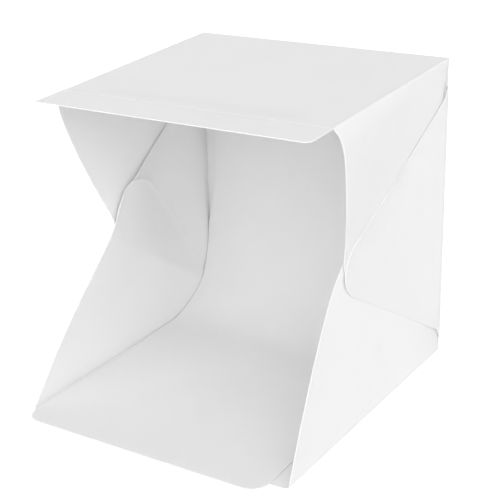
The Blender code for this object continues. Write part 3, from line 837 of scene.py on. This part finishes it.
corner_turns = [math.pi / 2 * step / CORNER_STEPS for step in range(CORNER_STEPS)]
lengths = [BACKDROP_CORNER * (1 - math.cos(turn)) for turn in corner_turns]
lengths += list(np.arange(BACKDROP_CORNER, floor_run, RUN_STEP))
profile = [(length, drop_low.y + length, floor_level) for length in lengths]
for turn in (bend * step / SWEEP_STEPS for step in range(SWEEP_STEPS)):
    profile.append((floor_run + SWEEP_RADIUS * turn,
                    bend_start + SWEEP_RADIUS * math.sin(turn),
                    floor_level + SWEEP_RADIUS * (1 - math.cos(turn))))
for length in np.linspace(0, rise, math.ceil(rise / RUN_STEP)):
    place = bend_end + BACK_UP * length
    profile.append((risen + length, place.y, place.z))
backdrop_length = risen + rise
print("backdrop is", round(backdrop_length, 4), "m long, in", len(profile), "rows")

# %% Fit its width
BACKDROP_WIDTH = 0.209
BACKDROP_TAPER = 0.018
BACKDROP_WAIST = 0.002                 # how far its right edge is drawn in along the bend
WAIST_POWER = 8
BACKDROP_SHIFT = -0.005                # of its middle from the cube's
EDGE_ROOM = 0.0003                     # between its left edge and the flaps, along the bend
BEND_SHARE = (0.28, 0.38, 0.64, 0.76)  # of its length: where the edge leaves its cut and returns
EVEN_ROWS = 7


def room_beside(places):
    """How far out from the cube's middle the left flaps leave room at each place."""
    inner = np.zeros(len(places))
    for node in ("back_flap_left", "base_flap_left"):
        _, a, b = rest_height(node, places)
        covered, _ = cover_of(node, a, b)
        inner = np.maximum(inner, standing_in(node, places) * covered)
    padded = np.pad(inner, EVEN_ROWS // 2, mode="edge")
    even = np.convolve(padded, np.ones(EVEN_ROWS) / EVEN_ROWS, mode="valid")
    inner = np.maximum(inner, even)
    return abs(hinges["base_flap_left"].x) - inner - SHEET / 2 - EDGE_ROOM


def backdrop_half(length, side, free):
    """How far the sheet reaches to a side of its middle. free is the room on the left."""
    share = length / backdrop_length
    half = (BACKDROP_WIDTH - BACKDROP_TAPER * share) / 2
    if side < 0:
        leaves, touches, parts, returns = BEND_SHARE
        touching = smooth(leaves, touches, share) * smooth(returns, parts, share)
        half += (free + BACKDROP_SHIFT - half) * touching
    else:
        half -= BACKDROP_WAIST * math.sin(math.pi * share) ** WAIST_POWER
    if length < BACKDROP_CORNER:
        half -= BACKDROP_CORNER
        half += math.sqrt(BACKDROP_CORNER ** 2 - (BACKDROP_CORNER - length) ** 2)
    return half


room = room_beside(np.array([(0.0, y, z) for _, y, z in profile]))
reaches = np.array([[backdrop_half(length, side, free) for side in (-1, 1)]
                    for (length, _, _), free in zip(profile, room)])
lengths = np.array(profile)[:, 0]

# %% Make the backdrop
BACKDROP_CHAMFER = 0.00008

middle = np.array([
    [(BACKDROP_SHIFT - left + (left + right) * share, y, z) for share in shares]
    for (left, right), (_, y, z) in zip(reaches, profile)
])
backdrop = thick_sheet("backdrop_sweep", middle, np.full(len(profile), BACKDROP_THICKNESS / 2),
                       np.zeros(middle.shape[:2], bool), chamfer=BACKDROP_CHAMFER)
backdrop.data.materials[FACE] = backdrop_finish
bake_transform(backdrop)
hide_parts("backdrop_sheet")
print(backdrop.name, len(backdrop.data.polygons), "faces")

# %% [markdown]
# ## Small parts
# Everything else is small: magnets and steel discs, hook and loop pads, and the circuit
# under the roof. Each is built in its own little frame, in metres, and then carried to
# the place that the CAD solid has. First come their finishes, as rows of two tables,
# because they differ only in their numbers.

# %% Finishes of the small parts
METAL_DRIFT, METAL_SCUFF = 0.10, 0.08
CLOSER = 12.0                          # how much smaller the drift is than on a sheet
LINE_STRETCH = (0.06, 1.0, 1.0)
GLOSS_DOWN, GLOSS_UP = 0.06, 0.08      # how far the lines move the roughness
METALS = {                             # colour, roughness, lines per metre and their depth
    "nickel_plate": ((0.70, 0.69, 0.67), 0.26, 9000.0, 0.000004),
    "rolled_steel": ((0.60, 0.60, 0.61), 0.34, 12000.0, 0.000004),
    "solder_tin": ((0.74, 0.74, 0.73), 0.38, 6000.0, 0.00001),
    "contact_gold": ((0.83, 0.62, 0.27), 0.30, 8000.0, 0.000004),
}
PLASTICS = {                           # colour, roughness, grain per metre, its depth, drift
    "pad_nylon": ((0.80, 0.80, 0.79), 0.72, 9000.0, 0.00004, 0.04),
    "foam_tape": ((0.76, 0.76, 0.73), 0.86, 5200.0, 0.00012, 0.05),
    "solder_mask": ((0.82, 0.83, 0.81), 0.34, 7000.0, 0.000005, 0.02),
    "led_package": ((0.85, 0.85, 0.83), 0.40, 12000.0, 0.000004, 0.02),
    "phosphor_gel": ((0.86, 0.74, 0.24), 0.24, 16000.0, 0.000008, 0.06),
    "ceramic": ((0.66, 0.65, 0.61), 0.55, 14000.0, 0.000006, 0.02),
    "resistor_glaze": ((0.035, 0.035, 0.037), 0.30, 14000.0, 0.000004, 0.15),
    "contact_carrier": ((0.030, 0.030, 0.032), 0.42, 12000.0, 0.000005, 0.15),
}


def metal(name, colour, roughness, line_scale, line_depth):
    """A plated or rolled metal with fine lines from its tooling."""
    _, tree, shader = new_finish(name, colour)
    place = add_node(tree, "TexCoord", {})["Object"]
    closer = add_node(tree, "VectorMath", {"Vector": place, "Scale": CLOSER}, operation="SCALE")
    tone = add_node(tree, "Group", {
        "Place": closer["Vector"], "Colour": (*colour, 1), "Drift": METAL_DRIFT,
        "Scuff": METAL_SCUFF,
    }, node_tree=drift_group)
    stretched = add_node(tree, "Mapping", {"Vector": place, "Scale": LINE_STRETCH})
    lines = noise(tree, stretched["Vector"], line_scale, detail=3.0)
    gloss = fade(tree, lines, *DRIFT_RANGE, roughness - GLOSS_DOWN, roughness + GLOSS_UP)
    feed(tree, shader, {
        "Metallic": 1.0,
        "Base Color": tone["Colour"],
        "Roughness": gloss,
        "Normal": bumped(tree, lines, line_depth),
    })


for name, row in METALS.items():
    metal(name, *row)
for name, row in PLASTICS.items():
    plastic(name, *row)
print("small finishes:", *METALS, *PLASTICS)

# %% [markdown]
# ### Helpers for small shapes
# Nearly all small parts are soft-edged blocks and turned discs, so there is a helper for
# each, and one that makes the finished mesh stand for its CAD node. Bevels are cut as each
# block is made, since one modifier would give all blocks of a piece the same radius.

# %% Blocks, tubes and turned shapes
ROUND_SIDES = 48


def slab(builder, size, centre, bevel, slot=0, segments=2):
    """A block with softened edges, in a material slot."""
    known = set(builder.faces)
    place = Matrix.Translation(centre) @ Matrix.Diagonal((*size, 1))
    made = bmesh.ops.create_cube(builder, size=1, matrix=place)
    edges = list(dict.fromkeys(edge for vertex in made["verts"] for edge in vertex.link_edges))
    bmesh.ops.bevel(builder, geom=edges, offset=bevel, segments=segments, profile=0.5,
                    affect="EDGES", clamp_overlap=True)
    for face in set(builder.faces) - known:
        face.material_index = slot


def slab_pair(builder, size, centre, apart, bevel, slot=0, segments=2):
    """Two equal blocks, a distance to the left and the right of a centre."""
    x, y, z = centre
    for end in (-1, 1):
        slab(builder, size, (x + end * apart, y, z), bevel, slot, segments)


def tube(builder, rings, slot=0):
    """A closed shape through rings of vertices, foot to head."""
    faces = [rings[0][::-1], rings[-1]]
    for below, above in zip(rings, rings[1:]):
        faces += band(below, above)
    for face in faces:
        builder.faces.new(face).material_index = slot


def turned(builder, profile, foot=0.0, slot=0, sides=ROUND_SIDES):
    """A closed shape turned about z from a profile of (radius, height), foot to head."""
    turns = [2 * math.pi * side / sides for side in range(sides)]
    tube(builder, [[
        builder.verts.new((radius * math.cos(turn), radius * math.sin(turn), foot + height))
        for turn in turns] for radius, height in profile], slot)


print("a turned shape has", ROUND_SIDES, "sides")

# %% From a builder to a piece
PART_SHARP = 38                        # in degrees, as for the sheets


def frame_at(centre, across, out, normal):
    """A place with its own directions: x across, y out and z along its normal."""
    place = Matrix((across, out, normal)).transposed().to_4x4()
    place.translation = centre
    return place


def hand_in(builder, node, body, place, slot, *finishes):
    """Turn a builder into the piece that replaces a CAD node."""
    mesh = bpy.data.meshes.new(node + "_piece")
    builder.to_mesh(mesh)
    builder.free()
    mesh.transform(place)
    finishes = [bpy.data.materials[finish] for finish in finishes]
    piece = show_mesh(node + "_piece", mesh, finishes, PART_SHARP)
    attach(piece, body)
    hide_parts(node)


def measured(node, across, out, normal):
    """A node's middle and its size along three directions."""
    local = points_of(node) @ np.array([across, out, normal]).T
    low, high = local.min(0), local.max(0)
    x, y, z = (low + high) / 2
    return across * x + out * y + normal * z, high - low


print("small parts show edges over", PART_SHARP, "degrees")

# %% [markdown]
# ### Discs between the layers
# Each side has two magnets and a steel disc. They sit on the settled sheets, so their
# place and tilt are read from the same height fields. A magnet has a rounded rim and a
# faint dish, and the steel disc is a stamped blank pressed into the middle sheet.

# %% Set the discs
DISC_LIFT = 0.00008                    # of a magnet off its sheet, for the glue
CATCH_EXTRA = 0.00006                  # how much thicker a steel disc is than its sheet
TILT_STEP = 0.004
RIM_TURNS = [math.radians(15 * step) for step in range(7)]
CATCH_RIM, CATCH_DISH = 0.00008, 0.00002
MAGNET_RIM, MAGNET_DISH = 0.00018, 0.00004


def disc_profile(radius, thickness, rim, dish):
    """Half a disc's outline, with a rounded rim and a shallow dish in both faces."""
    half = thickness / 2
    outer = [(radius - rim * (1 - math.cos(turn)), half - rim + rim * math.sin(turn))
             for turn in RIM_TURNS]
    inner = [(radius - rim * 3, half), (radius - rim * 4, half - dish), (radius * 0.25, half - dish)]
    top = outer + inner
    return [(r, -z) for r, z in reversed(top)] + top


for node, (side, layer) in layer_of.items():
    places = [CATCH, CATCH + Vector((0, TILT_STEP, 0)), CATCH + Vector((0, 0, TILT_STEP))]
    here, behind, above = standing_in(node, np.array(places))
    inward = ACROSS * -side
    across = Vector((0, 1, 0)) + inward * float(behind - here) / TILT_STEP
    normal = across.cross(UP + inward * float(above - here) / TILT_STEP).normalized()
    if normal.dot(inward) < 0:
        normal = -normal
    across = across.normalized()
    spot = Vector((hinges[node].x, CATCH.y, CATCH.z)) + inward * float(here)
    if layer == MIDDLE:
        kind, slot, finish = "_catch", "catch_steel", "rolled_steel"
        form = disc_profile(MAGNET_RADIUS, SHEET + CATCH_EXTRA, CATCH_RIM, CATCH_DISH)
    else:
        kind, slot, finish = "_magnet", "magnet_nickel", "nickel_plate"
        form = disc_profile(MAGNET_RADIUS, MAGNET_THICKNESS, MAGNET_RIM, MAGNET_DISH)
        face = 1 if layer == OUTER else -1
        spot = spot + normal * face * (SHEET / 2 + DISC_LIFT + MAGNET_THICKNESS / 2)
    builder = bmesh.new()
    turned(builder, form)
    place = frame_at(spot, across, normal.cross(across), normal)
    hand_in(builder, node + kind, node, place, slot, finish)
print("discs are set")

# %% [markdown]
# ### Hook and loop pads
# A hook pad is a thin woven base with rows of bent stems, and a loop pad has a nap of
# small arches. Both are tiny, so their stems have four sides and only a few bends. They
# are planted with a seeded random shake, since a strict grid would shimmer.

# %% Bend and plant the stems
PAD_BASE = 0.0004
STEM_PITCH = 0.00105
STEM_WIDTH = 0.00013
STEM_LEAN = STEM_PITCH * 0.34
STEM_SHAKE = 0.12                      # of the pitch
BARE_EDGE = STEM_PITCH * 0.7           # of a pad, where no stem stands


def bent_stem(builder, path):
    """A four-sided tube along a path of points, closed at both ends."""
    rings = []
    for index, point in enumerate(path):
        run = (path[min(index + 1, len(path) - 1)] - path[max(index - 1, 0)]).normalized()
        beside = run.orthogonal().normalized()
        over = run.cross(beside)
        rings.append([builder.verts.new(point + way * STEM_WIDTH / 2)
                      for way in (beside, over, -beside, -over)])
    tube(builder, rings)


def pad_spots(radius, random):
    """Places for stems on a round pad, one by one."""
    count = int(radius / STEM_PITCH)
    for row in range(-count, count + 1):
        for column in range(-count, count + 1):
            shake = random.uniform(-STEM_SHAKE, STEM_SHAKE, 2)
            x, y = (np.array([column + 0.5 * (row % 2), row]) + shake) * STEM_PITCH
            if math.hypot(x, y) < radius - BARE_EDGE:
                yield x, y


def stem_path(kind, foot, rise, way):
    """The bends of a hook, or of a loop that comes down again."""
    if kind == "hook":
        return [foot, foot + rise * 0.7, foot + rise + way * 0.5,
                foot + rise * 0.92 + way, foot + rise * 0.7 + way * 1.15]
    return [foot - way, foot - way * 1.05 + rise * 0.6, foot + rise,
            foot + way * 1.05 + rise * 0.6, foot + way]


print("stems stand", STEM_PITCH * 1000, "mm apart")

# %% Weave the pads
PAD_RIM, PAD_DISH = 0.00008, 0.00001
ROOT_SHARE = 0.4                       # of the base's thickness: where stems start in it
stems = 0
for word in ("left", "right"):
    for kind, face in (("hook", 1), ("loop", -1)):
        node = f"{kind}_pad_{word}"
        centre, size = measured(node, ACROSS, BACK_UP, BACK_OUT)
        radius, thickness = size[0] / 2, size[2]
        random = np.random.default_rng(len(word) + len(kind) + face)
        base_middle = -face * (thickness - PAD_BASE) / 2
        builder = bmesh.new()
        turned(builder, disc_profile(radius, PAD_BASE, PAD_RIM, PAD_DISH), base_middle)
        foot = base_middle + face * PAD_BASE * ROOT_SHARE
        rise = Vector((0, 0, face * (thickness / 2 - STEM_WIDTH) - foot))
        for x, y in pad_spots(radius, random):
            lean = random.uniform(0.8, 1.2) * STEM_LEAN
            turn = random.uniform(-0.5, 0.5)
            turn += math.pi * random.integers(2) if kind == "hook" else random.uniform(0, math.pi)
            way = Vector((math.cos(turn), math.sin(turn), 0)) * lean
            bent_stem(builder, stem_path(kind, Vector((x, y, foot)), rise, way))
            stems += 1
        place = frame_at(centre, ACROSS, BACK_UP, BACK_OUT)
        hand_in(builder, node, "back", place, f"{kind}_pad", "pad_nylon")
print("pads are woven, with", stems, "stems")

# %% [markdown]
# ### The circuit under the roof
# Foam tape holds a white board, and on it sit twenty light packages in series, with ten
# resistors and a socket. Copper runs under the solder mask show as faint raised lines,
# and every part stands on tinned lands.

# %% Tape and board
ROOF_FRAME = (ACROSS, TOP_OUT, TOP_DOWN)
TAPE_BEVEL, BOARD_BEVEL, LAND_BEVEL, TRACE_BEVEL = 0.00012, 0.00010, 0.00003, 0.00002
TAPE_ENDS = (0.03, 0.02)               # from its ends: where its cuts start and stop
TAPE_PIECE = 0.05                      # between the cuts
LAND_HEIGHT = 0.00012
TRACE_HEIGHT = 0.00005
TRACE_WIDTH = 0.0007
LED_LANDS = (0.30, 0.86, 0.44)         # shares of a part's size: length, width, how far apart
RESISTOR_LANDS = (0.34, 0.90, 0.46)
RAILS = (-0.44, 0.04)                  # where the long runs lie, as shares of the board's width
board_centre, board_size = measured("light_board", *ROOF_FRAME)
board_long, board_wide, board_thick = board_size
leds = [f"light_led_{number:02d}" for number in range(1, 21)]
resistors = [f"light_resistor_{number:02d}" for number in range(1, 11)]


def under_roof(builder, node, slot, *finishes):
    """Hand in a part of the circuit, with y to the front and z down."""
    centre, _ = measured(node, *ROOF_FRAME)
    hand_in(builder, node, "top", frame_at(centre, *ROOF_FRAME), slot, *finishes)


def on_board(node):
    """A node's place from the board's middle, as x and y, and its size."""
    where, extent = measured(node, *ROOF_FRAME)
    offset = where - board_centre
    return offset.dot(ACROSS), offset.dot(TOP_OUT), extent


def lands(builder, x, y, extent, long_share, wide_share, apart_share):
    """The two tinned lands that a part stands on."""
    size = (extent[0] * long_share, extent[1] * wide_share, LAND_HEIGHT)
    centre = (x, y, board_thick / 2 + LAND_HEIGHT / 2)
    slab_pair(builder, size, centre, extent[0] * apart_share, LAND_BEVEL, 1, 1)


def trace(builder, long, wide, x, y):
    """A copper run under the mask."""
    centre = (x, y, board_thick / 2 + TRACE_HEIGHT / 2)
    slab(builder, (long, wide, TRACE_HEIGHT), centre, TRACE_BEVEL, 0, 1)


_, size = measured("light_tape", *ROOF_FRAME)
builder = bmesh.new()
slab(builder, size, (0, 0, 0), TAPE_BEVEL)
for cut in np.arange(-size[0] / 2 + TAPE_ENDS[0], size[0] / 2 - TAPE_ENDS[1], TAPE_PIECE):
    bmesh.ops.bisect_plane(builder, geom=builder.verts[:] + builder.edges[:] + builder.faces[:],
                           plane_co=(cut, 0, 0), plane_no=(1, 0, 0))
under_roof(builder, "light_tape", "foam_tape", "foam_tape")

builder = bmesh.new()
slab(builder, board_size, (0, 0, 0), BOARD_BEVEL)
led_spots = [on_board(node) for node in leds]
for (x, y, extent), following in zip(led_spots, led_spots[1:] + [None]):
    lands(builder, x, y, extent, *LED_LANDS)
    if following:
        trace(builder, abs(following[0] - x) - extent[0], TRACE_WIDTH, (x + following[0]) / 2, y)
for x, y, extent in map(on_board, resistors):
    lands(builder, x, y, extent, *RESISTOR_LANDS)
    trace(builder, TRACE_WIDTH * 0.6, board_wide * 0.36, x + extent[0] * 0.6, y + board_wide * 0.24)
for line in RAILS:
    trace(builder, board_long * 0.94, TRACE_WIDTH, 0, board_wide * line)
under_roof(builder, "light_board", "light_board", "solder_mask", "solder_tin")
print("board is", round(board_long, 4), "m long")

# %% [markdown]
# ### Light packages, resistors and the socket
# A package is a white moulded cup with a window of yellow gel and two wrapped leads, and a
# resistor is a ceramic chip with a black glaze and end caps. The socket is a drawn steel
# shell round a tongue with contacts. Their forms are shares of the size that each CAD
# solid has, so that the tables below fit whatever size it is.

# %% Light packages and resistors
WINDOW_SHARE = 0.40                    # a package's round window, as a share of its width
WINDOW_SIDES = 32
WINDOW_RIM = ((1.22, 0.30), (1.22, 0.46), (1.14, 0.50), (1.00, 0.46), (0.94, 0.34))
WINDOW_GEL = ((0.98, 0.28), (0.98, 0.37), (0.70, 0.41), (0.30, 0.43))
LEADS = (                              # size, distance from the middle, height, bevel
    ((0.05, 0.78, 0.56), 0.475, -0.22, 0.03),
    ((0.22, 0.78, 0.10), 0.36, -0.45, 0.02),
)


def light_package(size):
    """A moulded frame with two wrapped leads and a dished window of phosphor gel."""
    builder = bmesh.new()
    length, width, height = size
    slab(builder, size * (0.94, 1, 0.86), (0, 0, -height * 0.07), height * 0.10)
    window = width * WINDOW_SHARE
    for slot, form in enumerate((WINDOW_RIM, WINDOW_GEL)):
        turned(builder, [(window * wide, height * high) for wide, high in form], slot=slot,
               sides=WINDOW_SIDES)
    for form, apart, level, bevel in LEADS:
        slab_pair(builder, size * form, (0, 0, height * level), length * apart, height * bevel, 2, 1)
    return builder


def chip_resistor(size):
    """A ceramic chip with a black glaze and tinned end caps."""
    builder = bmesh.new()
    length, _, height = size
    slab(builder, size * (0.90, 0.94, 0.86), (0, 0, -height * 0.04), height * 0.06, 0, 1)
    slab(builder, size * (0.62, 0.90, 0.20), (0, 0, height * 0.38), height * 0.08, 1)
    slab_pair(builder, size * (0.20, 1, 0.94), (0, 0, 0), length * 0.40, height * 0.12, 2)
    return builder


for nodes, make, slot, finishes in (
    (leds, light_package, "led", ("led_package", "phosphor_gel", "solder_tin")),
    (resistors, chip_resistor, "resistor", ("ceramic", "resistor_glaze", "solder_tin")),
):
    for node in nodes:
        under_roof(make(measured(node, *ROOF_FRAME)[1]), node, slot, *finishes)
    print(len(nodes), "pieces with the slot", slot)

# %% Socket and tongue
SHELL_WALL = 0.0003
SHELL_CORNER = 0.0007
SHELL_INSET = 0.0002                   # of the drawn body behind its flared lip
SMALLEST_CORNER = 0.0002
CORNER_SIDES = 5
LIP_FLARE = 0.00018
STAND_LONG, STAND_BEVEL = 0.0004, 0.00005   # of the two stands on the board
CONTACTS = 5
CONTACT_RUN = 0.84                     # of the tongue's width, that the contacts share
TONGUE_BEVEL, CONTACT_BEVEL = 0.00008, 0.00002


def shell_ring(half_width, half_height, corner):
    """A rounded rectangle, once round."""
    ring = []
    for quarter, (sx, sz) in enumerate(((1, 1), (-1, 1), (-1, -1), (1, -1))):
        for step in range(CORNER_SIDES + 1):
            turn = math.pi / 2 * (quarter + step / CORNER_SIDES)
            ring.append((sx * (half_width - corner) + corner * math.cos(turn),
                         sz * (half_height - corner) + corner * math.sin(turn)))
    return ring


_, size = measured("socket_shell", *ROOF_FRAME)
half_width, depth, half_height = size[0] / 2, size[1], size[2] / 2
stations = [                           # (depth from the mouth, how far in from the outline)
    (depth, SHELL_WALL * 1.6), (depth - SHELL_WALL * 0.5, SHELL_INSET), (0.0009, SHELL_INSET),
    (0.0002, LIP_FLARE * 0.3), (0.0, 0.00003), (0.00006, SHELL_WALL * 0.55),
    (0.0010, SHELL_WALL + 0.0001), (depth - SHELL_WALL, SHELL_WALL + 0.0001),
]
builder = bmesh.new()
rings = []
for y, inset in stations:
    corner = max(SHELL_CORNER - inset, SMALLEST_CORNER)
    outline = shell_ring(half_width - inset, half_height - inset, corner)
    rings.append([builder.verts.new((x, y - depth / 2, z)) for x, z in outline])
tube(builder, rings)
slab_pair(builder, (STAND_LONG, depth * 0.30, size[2] * 0.20),
          (0, depth * 0.05, -half_height + size[2] * 0.10), half_width - SHELL_WALL, STAND_BEVEL)
under_roof(builder, "socket_shell", "socket_shell", "rolled_steel")

_, size = measured("socket_tongue", *ROOF_FRAME)
builder = bmesh.new()
slab(builder, size, (0, 0, 0), TONGUE_BEVEL)
pitch = size[0] * CONTACT_RUN / CONTACTS
for number in range(CONTACTS):
    place = ((number - (CONTACTS - 1) / 2) * pitch, 0, size[2] * 0.46)
    slab(builder, (pitch * 0.5, size[1] * 0.8, size[2] * 0.12), place, CONTACT_BEVEL, 1, 1)
under_roof(builder, "socket_tongue", "socket_tongue", "contact_carrier", "contact_gold")
print("socket is in, with", CONTACTS, "contacts")

# %% [markdown]
# ## Floor, light and background
# The light is plain and soft, as in a white room: an even share comes from everywhere, and
# more from large diffusers in front and to the right. Each diffuser is a broad patch of the
# sky, so no lamp leaves a hard edge. The white behind comes from Light Path, and adds no
# light to the object.

# %% Build the stage
FLOOR_SIZE = 6.0
FLOOR_DROP = 0.0001                    # so that the base's underside and the floor don't meet
FLOOR_GLOW = 0.50
FLOOR_TONE = (0.93, 0.93, 0.93)
SKY = 0.44
DIFFUSERS = {                          # name: direction, strength at its middle, narrowness
    "front": ((0.0, -0.94, 0.34), 0.74, 2.0),
    "front_high": ((0.0, -0.60, 0.80), 0.19, 4.0),
    "front_right": ((0.66, -0.68, 0.32), 1.40, 4.0),
    "right": ((0.94, 0.0, 0.34), 0.05, 2.0),
}


def seen_rays(tree):
    """1 for rays that show what is behind, straight or in gloss and glass, else 0."""
    rays = add_node(tree, "LightPath", {})
    seen = maths(tree, "MAXIMUM", rays["Is Camera Ray"], rays["Is Glossy Ray"])
    return maths(tree, "MAXIMUM", seen, rays["Is Transmission Ray"])


floor_mesh = bpy.data.meshes.new("floor")
corners = [(x * FLOOR_SIZE / 2, y * FLOOR_SIZE / 2, 0) for x, y in ((-1, -1), (1, -1), (1, 1), (-1, 1))]
floor_mesh.from_pydata(corners, [], [(0, 1, 2, 3)])
floor = new_object("floor", floor_mesh)
floor.location.z = -FLOOR_DROP
floor_finish, tree, shader = new_finish("floor_white", FLOOR_TONE)
feed(tree, shader, {
    "Base Color": (*FLOOR_TONE, 1),
    "Roughness": 0.9,
    "Emission Color": (1, 1, 1, 1),
    "Emission Strength": maths(tree, "MULTIPLY", seen_rays(tree), FLOOR_GLOW),
})
floor_mesh.materials.append(floor_finish)

world = bpy.data.worlds.new("studio")
bpy.context.scene.world = world
world.use_nodes = True
tree = world.node_tree
towards = add_node(tree, "TexCoord", {})["Generated"]
light = SKY
for direction, strength, narrowness in DIFFUSERS.values():
    facing = add_node(tree, "VectorMath", {0: towards, 1: direction}, operation="DOT_PRODUCT")
    glow = maths(tree, "POWER", maths(tree, "MAXIMUM", facing["Value"], 0.0), narrowness)
    light = maths(tree, "ADD", maths(tree, "MULTIPLY", glow, strength), light)
seen = seen_rays(tree)
unseen = maths(tree, "MULTIPLY", maths(tree, "SUBTRACT", 1.0, seen), light)
feed(tree, tree.nodes["Background"].inputs, {
    "Color": (1, 1, 1, 1), "Strength": maths(tree, "ADD", seen, unseen),
})
bpy.context.scene.view_settings.view_transform = "Standard"
print("diffusers:", *DIFFUSERS)
